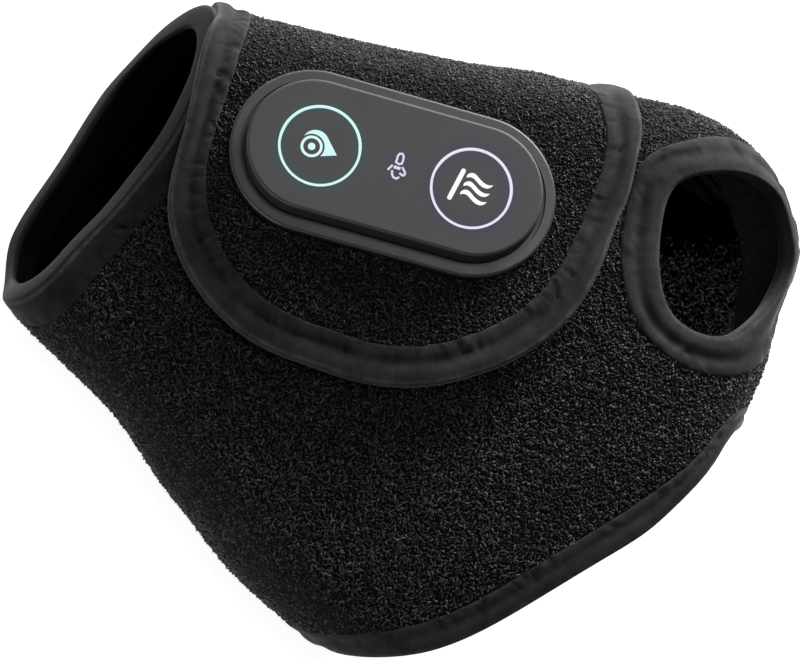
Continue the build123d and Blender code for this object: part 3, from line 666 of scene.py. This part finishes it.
shellPoints, shellFaces = evenShell()
outerSkin, outerPoints, outerSide = shellPiece(
    "wrap_fleece", shellPoints, shellFaces, 0.0, -tube["fleece"], bodyFleece)
innerSkin, innerPoints, innerOuter = shellPiece(
    "lining_fleece", shellPoints, shellFaces, -tube["fleece"] - shell["gap"], -tube["skin"], shadedLiningFleece)
place(outerSkin, "wrap", "plush", "wrap_shell")
place(innerSkin, "wrap", "lining", "inner_lining")
print("tube of fleece made,", len(shellFaces), "faces a layer")


# Flap: rows run up the fold wall from the root seam, over the fold and across to the tip.
# A place in plan is its reach along the fold and its reach out past it.

foldTurn = math.radians(foldAngle)
foldAlong = np.array([math.sin(foldTurn), -math.cos(foldTurn)])
foldOut = np.array([math.cos(foldTurn), math.sin(foldTurn)])
flapCloth = {"columns": 96, "wallRows": 16, "bendRows": 26, "step": 1.2, "shortest": 9, "edge": 0.6,
             "hole": (79.4, 38.2), "snap": 0.62, "holeLowest": 30, "holeLeast": 0.02, "rootTop": 1.8,
             "rootUnder": 0.1, "rootRise": 3.2, "searched": 80, "above": 70.0, "crownFrom": 14}


def planPoint(along, out):
    return along[:, None] * foldAlong + out * foldOut


def flapSpan(out):
    far = flapCloth["searched"]
    marks = np.linspace(-far, far, 4 * far + 1)
    flat = np.column_stack([planPoint(marks, out), np.zeros(len(marks))])
    inset = flapInset(flat) - flapCloth["edge"]
    inside = np.nonzero(inset > 0)[0]
    if len(inside) < 2:
        return None
    ends = []
    for inner, outer in ((inside[0], inside[0] - 1), (inside[-1], inside[-1] + 1)):
        share = inset[inner] / (inset[inner] - inset[outer])
        ends.append(marks[inner] + (marks[outer] - marks[inner]) * share)
    return ends


# Points of one row at that plan reach; lift works out their height from the crown above them
def flapRow(out, lift):
    ends = flapSpan(out)
    if ends is None:
        return None
    along = np.linspace(ends[0], ends[1], flapCloth["columns"] + 1)
    return np.column_stack([planPoint(along, out), lift(along)])


def flapMiddle():
    level = (flap["under"] + flap["top"]) / 2
    bend = tube["topRound"] + level
    wall = foldReach + level
    centre = wall - bend

    def crownHeight(along, out):
        above = np.column_stack([planPoint(along, out), np.full(len(along), flapCloth["above"])])
        return toLevel(above, level, 12)[:, 2]

    rows = []
    low = flap["rootBottom"]
    for share in np.linspace(0, 1, flapCloth["wallRows"], endpoint=False):
        rows.append(flapRow(wall, lambda a: low + share * (crownHeight(a, centre) - bend - low)))
    for turn in np.linspace(0, math.pi / 2, flapCloth["bendRows"], endpoint=False):
        out = centre + bend * math.cos(turn)
        rows.append(flapRow(out, lambda a: crownHeight(a, centre) - bend * (1 - math.sin(turn))))
    out = centre
    while True:
        row = flapRow(out, lambda a: crownHeight(a, out))
        if row is None or np.linalg.norm(row[-1] - row[0]) < flapCloth["shortest"]:
            break
        rows.append(row)
        out -= flapCloth["step"]
    grid = np.array(rows)
    points = grid.reshape(-1, 3)
    high = points[:, 2] > low + flapCloth["crownFrom"]
    points[high] = toLevel(points[high], level)
    return points, grid.shape[0], grid.shape[1]


# Points that the faces use, and the faces numbered by them
def onlyUsed(count, faces):
    used = np.unique(np.concatenate([np.array(face) for face in faces]))
    lookup = np.full(count, -1)
    lookup[used] = np.arange(len(used))
    return used, [tuple(lookup[list(face)]) for face in faces]


# Closed sheet from matching upper and under points
def thicken(upper, under, faces):
    count = len(upper)
    edges = {pair: True for face in faces for pair in zip(face, face[1:] + face[:1])}
    walls = [(b, a, a + count, b + count) for a, b in edges if (b, a) not in edges]
    below = [tuple(corner + count for corner in reversed(face)) for face in faces]
    used, allFaces = onlyUsed(2 * count, list(faces) + below + walls)
    return np.vstack([upper, under])[used], allFaces


def makeFlap():
    points, rows, columns = flapMiddle()
    hole, root, rootTop = flapCloth["hole"], flapCloth["rootUnder"], flapCloth["rootTop"]
    inset = moduleInset(points, *hole)
    near = (np.abs(inset) < flapCloth["snap"]) & (points[:, 2] > flapCloth["holeLowest"])
    way = gradient(lambda p: moduleInset(p, *hole), points[near])
    points[near] -= inset[near][:, None] * unit(way)
    inset = np.where(points[:, 2] > flapCloth["holeLowest"], moduleInset(points, *hole), farOff)
    faces = []
    for r in range(rows - 1):
        for c in range(columns - 1):
            a = r * columns + c
            face = (a, a + 1, a + 1 + columns, a + columns)
            if inset[list(face)].mean() > flapCloth["holeLeast"]:
                faces.append(face)
    z = points[:, 2]
    rootShare = np.clip((z - flap["rootBottom"]) / flapCloth["rootRise"], 0, 1)
    topLevel = rootTop + (flap["top"] - rootTop) * np.sqrt(1 - (1 - rootShare) ** 2)
    underLevel = root + (flap["under"] - root) * smooth(z, flap["bendStart"], flap["bendEnd"])
    upper, under = toLevel(points, topLevel), toLevel(points, underLevel)
    a, b, c = (upper[corner] for corner in faces[0][:3])
    if np.cross(b - a, c - a) @ tubeField(a[None])[1][0] < 0:
        faces = [tuple(reversed(face)) for face in faces]
    solid, solidFaces = thicken(upper, under, faces)
    made = makeObject("flap_fleece", draped(solid, flapDrape), solidFaces)
    made.data.materials.append(flapFleece)
    made.data.materials.append(flapUnder)
    index = np.zeros(len(solidFaces), np.int32)
    index[len(faces):2 * len(faces)] = 1
    made.data.polygons.foreach_set("material_index", index)
    return made, upper, faces


flapSkin, flapUpper, flapFaces = makeFlap()
print("flap made,", len(flapFaces), "faces")


# Edge tapes: a section swept along each traced edge, from the outer hem round the edge to the inner hem

tape = {"width": 8.5, "thick": 0.55, "spacing": 0.5, "edgeBulge": 1.3, "corner": 1.1, "flat": 0.34,
        "lineWidth": 0.4, "shadeSpread": 1.7}
# Roll at the edge, valley beside it and hem: inset, spread and height of each
tapeSwells = {"roll": (1.6, 1.7, 0.3), "valley": (4.5, 1.3, -0.42), "hem": (7.0, 1.2, 0.16)}


def bell(offset, spread):
    return np.exp(-(offset / spread) ** 2)


def tapeRelief(inset):
    return sum(height * bell(inset - at, spread) for at, spread, height in tapeSwells.values())


# Inset from the edge, level and share of the outer relief, round the section
def tapeSection(inner, outer):
    width, thick, corner = tape["width"], tape["thick"], tape["corner"]
    half = (outer - inner) / 2 + thick
    middle = (outer + inner) / 2
    fold = corner - tape["edgeBulge"]
    legs = np.linspace(width - 0.3, fold, 17)
    section = [(width + 0.15, half - thick - 0.5, 0), (width + 0.12, half - 0.35, 0), (width, half - 0.1, 0)]
    section += [(inset, half, 1) for inset in legs]
    turns = np.radians([15, 30, 45, 60, 75, 90])
    bend = [(fold - corner * math.sin(t), half - corner * (1 - math.cos(t))) for t in turns]
    section += [(inset, level, 1 - 0.75 * math.sin(t)) for (inset, level), t in zip(bend, turns)]
    section.append((-tape["edgeBulge"] - 0.12, 0, 0.0))
    section += [(inset, -level, -0.2) for inset, level in bend[::-1]]
    section += [(inset, -half, -0.5) for inset in legs[::-1]]
    section += [(width, -half + 0.1, 0), (width + 0.15, -half + thick + 0.5, 0)]
    section = np.array(section)
    return section[:, 0], section[:, 1] + middle, section[:, 2]


pleat = {"often": 2.8, "depth": 0.26, "reach": 6, "wide": (0.45, 1.2), "deep": (0.2, 1.0), "deepPower": 1.3,
         "centre": (5.0, 8.0), "run": (1.0, 2.6), "skew": (-0.5, 0.5), "lip": 0.5, "lipAt": 1.8}


# Small pleats that run in from the hem, at seeded places, and more of them in each crowded stretch
def creases(along, inset, total, seed, crowd):
    draw = np.random.default_rng(seed)
    spots = draw.uniform(0, total, int(total / pleat["often"]))
    spots = np.concatenate([spots] + [draw.uniform(low, high, n) for low, high, n in crowd])
    result = np.zeros_like(along)
    for spot in spots:
        wide = draw.uniform(*pleat["wide"])
        deep = pleat["depth"] * draw.uniform(*pleat["deep"]) ** pleat["deepPower"]
        centre, run = draw.uniform(*pleat["centre"]), draw.uniform(*pleat["run"])
        skew = draw.uniform(*pleat["skew"])
        near = np.abs(along - spot) < pleat["reach"]
        offset = along[near] - spot - skew * (inset[near] - centre)
        fold = pleat["lip"] * bell(offset - pleat["lipAt"] * wide, wide) - bell(offset, wide)
        result[near] += deep * bell(inset[near] - centre, run) * fold
    return result


# Slow unevenness along the tape, as a sum of seeded waves
def wander(along, seed, longest=38.0):
    draw = np.random.default_rng(seed)
    turns = along * 2 * math.pi / longest
    return sum(np.sin(turns * k + draw.uniform(0, 6.3)) / k ** 0.7 for k in (1, 2, 3, 5, 8)) / 2.6


# Hem and relief unevenness; least, valley, pleat and pleatRange set the painted shade of the inner side, the
# valley and the pleats; edgeAt, hemLine and lineLength set the lighter lines at the fold and hem, partly
# wear and partly painted highlight
wearAndShade = {"hem": 0.22, "hemLength": 31.0, "hemFrom": 5.0, "relief": 0.5, "least": 0.04, "valley": 0.3,
        "valleyLength": 23.0, "pleat": 1.5, "pleatRange": (0.6, 1.12), "edgeAt": 0.3, "hemLine": 0.35,
        "lineLength": 9.0}


# body is how much of the relief shows, fade the sides of the section between which the painted shade of the
# inner side and edge comes in, flat the tone of the tape's face, line how much lighter its fold and hem
# lines are: partly wear, partly painted highlight
def makeTape(name, path, closed, edge, inner, outer, seed, body=1.0, fade=(-0.35, 0.05), flat=tape["flat"],
             line=0.4, slim=None, duck=None, crowd=(), extra=(), inside=shadedInsideTape):
    even, marks, total = resample(path, closed, tape["spacing"])
    insets, levels, relief = tapeSection(inner, outer)
    middle = (inner + outer) / 2
    even = settle(even, edge, 0.0, middle, 3)
    normal = tubeField(even)[1]
    across = gradient(edge, even)
    across = unit(across - (across * normal).sum(1, keepdims=True) * normal)
    rows, columns = len(even), len(insets)
    narrow = np.ones(rows) if slim is None else slim(even)
    fold = tape["corner"] - tape["edgeBulge"]
    reach = np.where(insets > fold, fold + (insets - fold) * narrow[:, None], insets)
    guess = (even[:, None] + across[:, None] * reach[:, :, None]
             + normal[:, None] * (levels - middle)[None, :, None]).reshape(-1, 3)
    inset = np.tile(insets, rows)
    along = np.repeat(marks, columns)
    side = np.tile(relief, rows)
    outerShare = np.clip(side, 0, 1)
    hem = smooth(inset, wearAndShade["hemFrom"], tape["width"])
    uneven = hem * wearAndShade["hem"] * np.abs(wander(along, seed + 50, wearAndShade["hemLength"]))
    inset, laid = inset - uneven, reach.ravel() - uneven
    pleats = creases(along, inset, total, seed, crowd)
    height = np.tile(levels, rows)
    level = height + body * side * tapeRelief(inset) * (1 + wearAndShade["relief"] * wander(along, seed + 70))
    level = level + outerShare * pleats
    # Painted shade: the tape darkens from its outer face round the edge to its inner side
    shade = np.clip(wearAndShade["least"] + (1 - wearAndShade["least"]) * smooth(side, *fade), 0, 1)
    # Painted shade in the valley beside the roll
    valley = bell(inset - tapeSwells["valley"][0], tape["shadeSpread"]) * outerShare * body
    valley = valley * (0.7 + 0.6 * wander(along, seed + 90, wearAndShade["valleyLength"]))
    shade = shade * (1 - wearAndShade["valley"] * valley)
    # Painted shade in the pleats' hollows and painted highlight on their lips
    shade = shade * np.clip(1 + wearAndShade["pleat"] * pleats, *wearAndShade["pleatRange"])
    nominal = np.tile(insets, rows)
    # Lighter lines along the fold and the hem: partly wear, partly painted highlight
    worn = bell(nominal - fold + wearAndShade["edgeAt"], tape["lineWidth"]) * smooth(side, 0.3, 0.6)
    worn = worn + wearAndShade["hemLine"] * bell(nominal - tape["width"], tape["lineWidth"]) * (height > middle)
    worn = np.clip(worn * (0.8 + 0.5 * wander(along, seed + 30, wearAndShade["lineLength"])), 0, 1)
    shade = shade * (flat + (1 - flat) * line * worn)
    points = settle(guess, edge, laid, level)
    if duck is not None:
        points = duck(points)
    points = draped(points, extra)
    lay = np.concatenate([[0], np.cumsum(np.hypot(np.diff(insets), np.diff(levels)))])
    faces, uv = [], []
    last = rows if closed else rows - 1
    ends = np.append(marks, total)
    for r in range(last):
        following = (r + 1) % rows
        for c in range(columns):
            other = (c + 1) % columns
            layC, layOther = lay[c], lay[other] if other else lay[c] + 1.0
            a, b = r * columns, following * columns
            faces.append((a + c, a + other, b + other, b + c))
            uv += [(ends[r], layC), (ends[r], layOther), (ends[r + 1], layOther), (ends[r + 1], layC)]
    if not closed:
        for row, turn in ((0, -1), (rows - 1, 1)):
            faces.append(tuple(range(row * columns, (row + 1) * columns))[::turn])
            uv += [(ends[row], lay[c]) for c in range(columns)]
    if looksInwards(points, faces, columns):
        faces = [tuple(reversed(face)) for face in faces]
        uv = reversedRings(uv, faces)
    made = makeObject(name, points, faces, uv)
    writeAttribute(made.data, "shade", shade)
    made.data.materials.append(edgeTape)
    made.data.materials.append(inside)
    # Inner-side faces take the second finish: a near-black inside tape as painted shade, or for the thumb
    # hole a lightened hem fleece as painted light
    index = np.zeros(len(faces), np.int32)
    index[:last * columns] = np.tile(np.where(relief < -0.3, 1, 0), last)
    made.data.polygons.foreach_set("material_index", index)
    return made


# The faces' corners in reverse, with the same face order
def reversedRings(uv, faces):
    turned, start = [], 0
    for face in faces:
        turned += uv[start:start + len(face)][::-1]
        start += len(face)
    return turned


# Whether the faces of the first ring look inwards
def looksInwards(points, faces, columns):
    centre = points[:columns].mean(0)
    corners = points[np.array(faces[:columns])[:, :3]]
    normals = np.cross(corners[:, 1] - corners[:, 0], corners[:, 2] - corners[:, 0])
    return (normals * (corners.mean(1) - centre)).sum() < 0


# The hand tape passes under the thumb tape where the two meet
def duckUnderThumbRing(points):
    inset = thumbInsetUpper(points)
    hide = 1 - smooth(inset, tape["width"] - 0.6, tape["width"] + 1.2)
    distance, normal = tubeField(points)
    upper, lower = np.maximum(distance + 0.9, 0), np.minimum(distance + 3.6, 0)
    sink = np.where(distance > -tube["skin"] / 2, upper, lower)
    return points - (hide * sink)[:, None] * normal


def allTapes():
    skin, middle = tube["skin"], -tube["skin"] / 2
    rimPath = traceEdge(rimInset, (-52, 0, 48), middle, True)
    handPath = traceEdge(handInset, (93.7, -50, 50), middle, True)
    holeStart = np.array(thumbHole["place"]) + holeAxes()[:, 0] * thumbHole["short"]
    holePath = traceEdge(thumbInset, holeStart, middle, True)
    rimEven, rimMarks = resample(rimPath, True, tape["spacing"])[:2]
    puckered = rimMarks[np.linalg.norm(rimEven - np.array([-62, -72, 26]), axis=1).argmin()]
    flapMid = (flap["under"] + flap["top"]) / 2
    left = wallStart(flapMid)
    way = 1 if traceEdge(flapInset, left, flapMid, False, floor=-1, way=1)[3][2] > left[2] else -1
    flapPath = traceEdge(flapInset, left, flapMid, False, way=way, floor=flap["rootBottom"])
    print("tape paths", len(rimPath), len(handPath), len(holePath), len(flapPath))
    return {
        # The forearm tape's face and front are painted darker (fade (0.3, 0.75), flat 0.17) as painted
        # shade, with a stronger painted highlight line (0.8)
        "forearm_tape": makeTape("forearm_tape", rimPath, True, rimInset, -skin, 0.0, 11, 0.35, (0.3, 0.75),
                                 0.17, 0.8, forearmSlim, crowd=[(puckered - 26, puckered + 26, 16)]),
        "hand_tape": makeTape("hand_tape", handPath, True, handInset, -skin, 0.0, 12, 0.45, slim=handSlim,
                              duck=duckUnderThumbRing),
        "thumb_tape": makeTape("thumb_tape", holePath, True, thumbInset, -skin, 0.0, 13, inside=litHemFleece),
        # The flap tape's fold and hem lines are lighter (line 0.9): partly wear, partly painted highlight
        "flap_tape": makeTape("flap_tape", flapPath, False, flapInset, flap["under"], flap["top"], 14,
                              line=0.9, crowd=[(20, 62, 26), (84, 112, 8)], extra=flapDrape),
    }


# Where the flap's forearm side meets the fold wall, at the height of the root seam
def wallStart(level):
    sideAngle, sideReach = flap["sides"][1][:2]
    angles = np.radians([foldAngle, sideAngle])
    normals = np.column_stack([np.cos(angles), np.sin(angles)])
    spot = np.linalg.solve(normals, [foldReach + level, sideReach])
    return np.array([spot[0], spot[1], flap["rootBottom"] + 1.0])


tapes = allTapes()
place(tapes["forearm_tape"], "wrap", "binding", "forearm_edge_binding")
place(tapes["hand_tape"], "wrap", "binding", "hand_edge_binding")
place(tapes["thumb_tape"], "wrap", "binding", "thumb_hole_binding")
for piece, slotName, stands in ((flapSkin, "plush", ("flap_panel", "flap_root")),
                                (tapes["flap_tape"], "binding", ("flap_edge_binding",))):
    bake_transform(piece)
    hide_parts(*stands)
print("edge tapes made")


# Pile: short curled yarns scattered over the fleece by Geometry Nodes

pile = {"spacing": 0.5, "most": 3.0, "leastSize": 0.65, "mostSize": 1.35, "length": 0.58, "girth": 0.28,
        "tilt": 0.35, "turn": 6.2832, "toneSeed": 77, "ground": (0.25, 2.5), "worn": 0.4,
        "liningShare": 0.8, "liningSpacing": 0.85}


def curlMesh(name, bend, lift, turn):
    length, girth = pile["length"], pile["girth"]
    points = [np.array([-length, bend - turn, 0.02]), np.array([length, bend + turn, 0.02])]
    for k in range(3):
        angle = math.radians(90 + 120 * k)
        points.append(np.array([0.0, girth * math.cos(angle), lift + girth * math.sin(angle)]))
    faces = []
    for k in range(3):
        a, b = 2 + k, 2 + (k + 1) % 3
        faces += [(0, b, a), (1, a, b)]
    faces = outward(np.array(points), faces)
    mesh = bpy.data.meshes.new(name)
    mesh.from_pydata([tuple(p * metre) for p in points], [], faces)
    mesh.shade_smooth()
    return bpy.data.objects.new(name, mesh)


def curlSet():
    group = bpy.data.collections.new("curls")
    forms = [(0.2, 0.2, 0.0), (-0.24, 0.3, 0.08), (0.06, 0.42, -0.12), (0.3, 0.14, 0.1)]
    for k, (bend, lift, turn) in enumerate(forms):
        group.objects.link(curlMesh(f"curl{k}", bend, lift, turn))
    return group


def treeWith(name, sockets):
    tree = bpy.data.node_groups.new(name, "GeometryNodeTree")
    tree.interface.new_socket("Geometry", in_out="INPUT", socket_type="NodeSocketGeometry")
    tree.interface.new_socket("Geometry", in_out="OUTPUT", socket_type="NodeSocketGeometry")
    for label, kind in sockets:
        tree.interface.new_socket(label, in_out="INPUT", socket_type="NodeSocket" + kind)
    return tree, tree.nodes.new("NodeGroupInput").outputs, tree.nodes.new("NodeGroupOutput").inputs


def runTree(source, tree, values, name):
    modifier = source.modifiers.new("scatter", "NODES")
    modifier.node_group = tree
    for item in tree.interface.items_tree:
        if item.in_out == "INPUT" and item.name in values:
            modifier[item.identifier] = values[item.name]
    mesh = evaluated(source, name)
    source.modifiers.remove(modifier)
    made = bpy.data.objects.new(name, mesh)
    bpy.context.scene.collection.objects.link(made)
    return made


def pileTree():
    tree, given, result = treeWith("pileScatter", [
        ("Curls", "Collection"), ("Spacing", "Float"), ("Most", "Float"), ("Least Size", "Float"),
        ("Most Size", "Float"), ("Seed", "Int"), ("Fibre", "Material")])
    cover = addNode(tree, "GeometryNodeInputNamedAttribute", {"data_type": "FLOAT"}, Name="cover")
    spots = addNode(tree, "GeometryNodeDistributePointsOnFaces", {"distribute_method": "POISSON"},
                    Mesh=given["Geometry"], Distance_Min=given["Spacing"], Density_Max=given["Most"],
                    Density_Factor=cover.outputs["Attribute"], Seed=given["Seed"]).outputs
    curl = addNode(tree, "GeometryNodeCollectionInfo", Collection=given["Curls"], Separate_Children=True,
                   Reset_Children=True).outputs[0]
    tilt = pile["tilt"]
    spin = addNode(tree, "FunctionNodeRandomValue", {"data_type": "FLOAT_VECTOR"}, i0=(-tilt, -tilt, 0),
                   i1=(tilt, tilt, pile["turn"]), Seed=given["Seed"]).outputs[0]
    facing = addNode(tree, "FunctionNodeRotateRotation", {"rotation_space": "LOCAL"}, i0=spots["Rotation"],
                     i1=spin).outputs[0]
    size = addNode(tree, "FunctionNodeRandomValue", {"data_type": "FLOAT"}, i2=given["Least Size"],
                   i3=given["Most Size"], Seed=given["Seed"]).outputs[1]
    placed = addNode(tree, "GeometryNodeInstanceOnPoints", Points=spots["Points"], Instance=curl,
                     Pick_Instance=True, Rotation=facing, Scale=size).outputs[0]
    tone = addNode(tree, "FunctionNodeRandomValue", {"data_type": "FLOAT"}, Seed=pile["toneSeed"])
    kept = addNode(tree, "GeometryNodeStoreNamedAttribute", {"data_type": "FLOAT", "domain": "INSTANCE"},
                   Name="tone", Geometry=placed, Value=tone.outputs[1]).outputs[0]
    real = addNode(tree, "GeometryNodeRealizeInstances", Geometry=kept).outputs[0]
    dressed = addNode(tree, "GeometryNodeSetMaterial", Geometry=real, Material=given["Fibre"]).outputs[0]
    tree.links.new(dressed, result["Geometry"])
    return tree


curls, scatterPile = curlSet(), pileTree()


# Grows pile on the faces that have cover, and returns it as one plain mesh
def sow(name, points, faces, cover, seed, fibre, spacing=1.0, extra=()):
    kept = [face for face in faces if cover[list(face)].max() > 0.01]
    used, kept = onlyUsed(len(points), kept)
    ground = makeObject(name + "_ground", draped(points[used], extra), kept)
    writeAttribute(ground.data, "cover", cover[used])
    values = {"Curls": curls, "Spacing": pile["spacing"] * spacing * metre,
              "Most": pile["most"] * perSquareMetre / spacing ** 2, "Least Size": pile["leastSize"],
              "Most Size": pile["mostSize"], "Seed": seed, "Fibre": fibre}
    made = runTree(ground, scatterPile, values, name)
    bpy.data.objects.remove(ground)
    made.data.shade_smooth()
    print(name, "has", len(made.data.polygons), "triangles")
    return made


def clearOfTapes(points):
    clear = np.minimum(rimInset(points) / forearmSlim(points), handInset(points) / handSlim(points))
    clear = np.minimum(clear, thumbInsetUpper(points))
    return smooth(clear, tape["width"] - 0.6, tape["width"] + 0.1)


# 1 under the closed flap, 0 in the open
def underFlap(points):
    return smooth(flapInset(points), 1.0, 3.0) * (points[:, 2] > flap["rootBottom"])


def plushPile():
    outside = [face for face in shellFaces if outerSide[list(face)].all()]
    cover = clearOfTapes(outerPoints) * smooth(outerPoints[:, 2], *pile["ground"])
    cover = cover * (1 - pile["worn"] * underFlap(outerPoints))
    handSide = outerPoints[:, 0] + 0.35 * outerPoints[:, 1] > 12
    halves = ("pile_hand_side", handSide, 21), ("pile_forearm_side", ~handSide, 22)
    return [place(sow(name, outerPoints, outside, cover * side, seed, pileFibre), "wrap", "plush")
            for name, side, seed in halves]


liningArea = {"middle": (80, 10), "squash": 1.1, "reach": 62, "fade": 20, "height": (12, 22),
              "away": (-0.545, 0.839), "back": (-17, -7)}


# Pile inside, on the floor of the tube that shows through the thumb hole, and over the inner hem there
def liningPile():
    inside = [face for face in shellFaces if not innerOuter[list(face)].any()]
    x, y, z = innerPoints.T
    (middleX, middleY), (awayX, awayY) = liningArea["middle"], liningArea["away"]
    off = np.hypot(x - middleX, (y - middleY) * liningArea["squash"])
    through = smooth(liningArea["reach"] - off, 0, liningArea["fade"])
    low = 1 - smooth(z, *liningArea["height"])
    back = 1 - smooth(awayY * y + awayX * x, *liningArea["back"])
    hand = handInset(innerPoints)
    onTape = 1 - smooth(hand, tape["width"] - 0.4, tape["width"] + 0.5)
    raised = innerPoints - ((tape["thick"] + 0.15) * onTape)[:, None] * tubeField(innerPoints)[1]
    clear = smooth(rimInset(innerPoints), 8, 9) * smooth(hand, 0.6, 1.4)
    cover = clear * low * through * back * pile["liningShare"]
    made = sow("pile_lining", raised, inside, cover, 23, litLiningFibre, pile["liningSpacing"])
    return place(made, "wrap", "lining")


def flapPile():
    free = smooth(moduleInset(flapUpper, seat["rimLength"], seat["rimWidth"]), -0.6, 0.0)
    free = np.maximum(free, (flapUpper[:, 2] < flapCloth["holeLowest"]) * 1.0)
    cover = free * smooth(flapInset(flapUpper), tape["width"] - 0.6, tape["width"] + 0.1)
    made = sow("pile_flap", flapUpper, flapFaces, cover, 24, pileFibre, extra=flapDrape)
    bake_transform(made)
    return made


for piece in [*plushPile(), liningPile(), flapPile()]:
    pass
print("pile grown")


# Control module and what it holds: the CAD parts keep their shape and get their finish here

halos = [{"along": -19.2, "ring": 9.9, "spread": 3.5, "tint": (0.058, 0.082, 0.084)},
         {"along": 19.2, "ring": 9.9, "spread": 5.0, "tint": (0.066, 0.062, 0.092)},
         {"along": 0.3, "ring": 1.6, "spread": 4.0, "tint": (0.066, 0.063, 0.088)}]


# Light of the rings and marks that the cap and cover around them pick up
def haloed(tree, spot, colour):
    face = seat["place"] + 14.7 * seat["z"]
    for halo in halos:
        centre = (face + halo["along"] * seat["x"]) * metre
        away = addNode(tree, "ShaderNodeVectorMath", {"operation": "DISTANCE"}, i0=spot, i1=tuple(centre))
        off = maths(tree, "SUBTRACT", away.outputs["Value"], halo["ring"] * metre)
        off = maths(tree, "ABSOLUTE", off)
        share = maths(tree, "SUBTRACT", 1.0, maths(tree, "DIVIDE", off, halo["spread"] * metre))
        colour = mixColour(tree, maths(tree, "MAXIMUM", share, 0.0), colour, halo["tint"])
    return colour


# walls is how much darker the upright faces of the module are painted than its faces, as painted shade
def plastic(name, tone, rough, grain=900.0, strength=0.06, clouds=0.05, spec=0.45, walls=1.0, glow=False):
    material, tree, surface = newMaterial(name, Roughness=rough, Specular_IOR_Level=spec)
    spot = objectPlace(tree)
    cloud = noise(tree, spot, 60.0, 3.0)
    low, high = tuple(t * (1 - clouds) for t in tone), tuple(t * (1 + clouds) for t in tone)
    colour = ramp(tree, cloud, [(0.3, low), (0.7, high)])
    if glow:
        colour = haloed(tree, spot, colour)
    # Painted shade: faces that stand upright to the seat's axis are painted darker
    if walls < 1:
        facing = addNode(tree, "ShaderNodeTexCoord").outputs["Normal"]
        level = addNode(tree, "ShaderNodeVectorMath", {"operation": "DOT_PRODUCT"}, i0=facing,
                        i1=tuple(seat["z"]))
        share = ramp(tree, level.outputs["Value"], [(0.25, walls), (0.7, 1.0)])
        colour = mixColour(tree, 1.0, colour, share, "MULTIPLY")
    paint(tree, surface, colour)
    sheen = ramp(tree, noise(tree, spot, 220.0, 2.0), [(0.3, rough * 0.94), (0.7, min(rough * 1.06, 1.0))])
    tree.links.new(sheen, surface.inputs["Roughness"])
    addBump(tree, surface, noise(tree, spot, grain, 2.0, 0.6), strength, 0.00005)
    return material


def metal(name, tone, rough, stretch=(1, 1, 30)):
    material, tree, surface = newMaterial(name, Metallic=1.0)
    spot = addNode(tree, "ShaderNodeMapping", Vector=objectPlace(tree), Scale=stretch).outputs[0]
    lines = noise(tree, spot, 300.0, 3.0)
    paint(tree, surface, ramp(tree, lines, [(0.3, tuple(t * 0.85 for t in tone)), (0.7, tone)]))
    tree.links.new(ramp(tree, lines, [(0.3, rough * 0.8), (0.7, rough * 1.2)]), surface.inputs["Roughness"])
    addBump(tree, surface, lines, 0.08, 0.00005)
    return material


def lamp(name, tone, strength):
    material, tree, surface = newMaterial(name, Roughness=0.5)
    soft = noise(tree, objectPlace(tree), 400.0, 1.0)
    colour = ramp(tree, soft, [(0.2, tuple(t * 0.94 for t in tone)), (0.8, tone)])
    paint(tree, surface, mixColour(tree, 0.85, colour, (0.0, 0.0, 0.0)))
    tree.links.new(colour, surface.inputs["Emission Color"])
    surface.inputs["Emission Strength"].default_value = strength
    return material


# The cover's and the housing's upright faces carry painted shade (walls 0.1 and 0.2)
coverFinish = plastic("softTouchCover", (0.074, 0.071, 0.0705), 0.55, 1600.0, 0.12, walls=0.1, glow=True)
keyFinish = plastic("softTouchKey", (0.076, 0.0726, 0.0735), 0.55, 1600.0, 0.12, glow=True)
housingFinish = plastic("darkHousing", (0.062, 0.06, 0.058), 0.4, 1200.0, 0.1, spec=0.6, walls=0.2)
finishes = {
    "top_cover": coverFinish, "massage_button": keyFinish, "heat_button": keyFinish,
    "base_housing": housingFinish, "clamp_plate": plastic("clampPlastic", (0.02, 0.02, 0.021), 0.55),
    "cover_gasket": plastic("gasketRubber", (0.008, 0.008, 0.008), 0.8),
    "housing_screws": metal("screwSteel", (0.18, 0.18, 0.19), 0.35),
    "massage_ring_light": lamp("cyanRing", (0.6, 0.88, 0.88), 1.0),
    "heat_ring_light": lamp("whiteRing", (0.74, 0.73, 0.88), 1.0),
    "massage_icon": lamp("cyanMark", (0.6, 0.88, 0.88), 1.0),
    "heat_icon": lamp("whiteMark", (0.95, 0.94, 1.0), 1.0),
    "wrist_icon": lamp("wristMark", (0.72, 0.7, 0.86), 0.9),
    "circuit_board": plastic("boardGreen", (0.008, 0.05, 0.022), 0.4, 500.0, 0.2, 0.2),
    "tact_switches": metal("switchSteel", (0.5, 0.5, 0.5), 0.3),
    "ring_leds": lamp("ledLens", (0.9, 0.88, 0.6), 0.4),
    "control_chip": plastic("chipEpoxy", (0.01, 0.01, 0.011), 0.5, 2000.0, 0.2),
    "battery_pack": plastic("batteryWrap", (0.09, 0.17, 0.32), 0.35, 250.0, 0.25, 0.12),
    "motor_can": metal("motorSteel", (0.55, 0.55, 0.56), 0.3, (30, 1, 1)),
    "motor_weight": metal("tungsten", (0.32, 0.31, 0.3), 0.45),
    "charging_port": metal("portSteel", (0.6, 0.6, 0.6), 0.28),
    "heating_film": plastic("filmAmber", (0.45, 0.2, 0.04), 0.3, 350.0, 0.1, 0.15),
    "heating_trace": metal("traceCopper", (0.72, 0.35, 0.2), 0.35),
    "temperature_sensor": plastic("sensorBead", (0.02, 0.02, 0.02), 0.4),
    "hook_patch": plastic("hookNylon", (0.016, 0.016, 0.016), 0.6, 1100.0, 1.0),
}
for partName, finish in finishes.items():
    worn = nodes[partName].data.materials
    worn.clear()
    worn.append(finish)
print("module dressed")
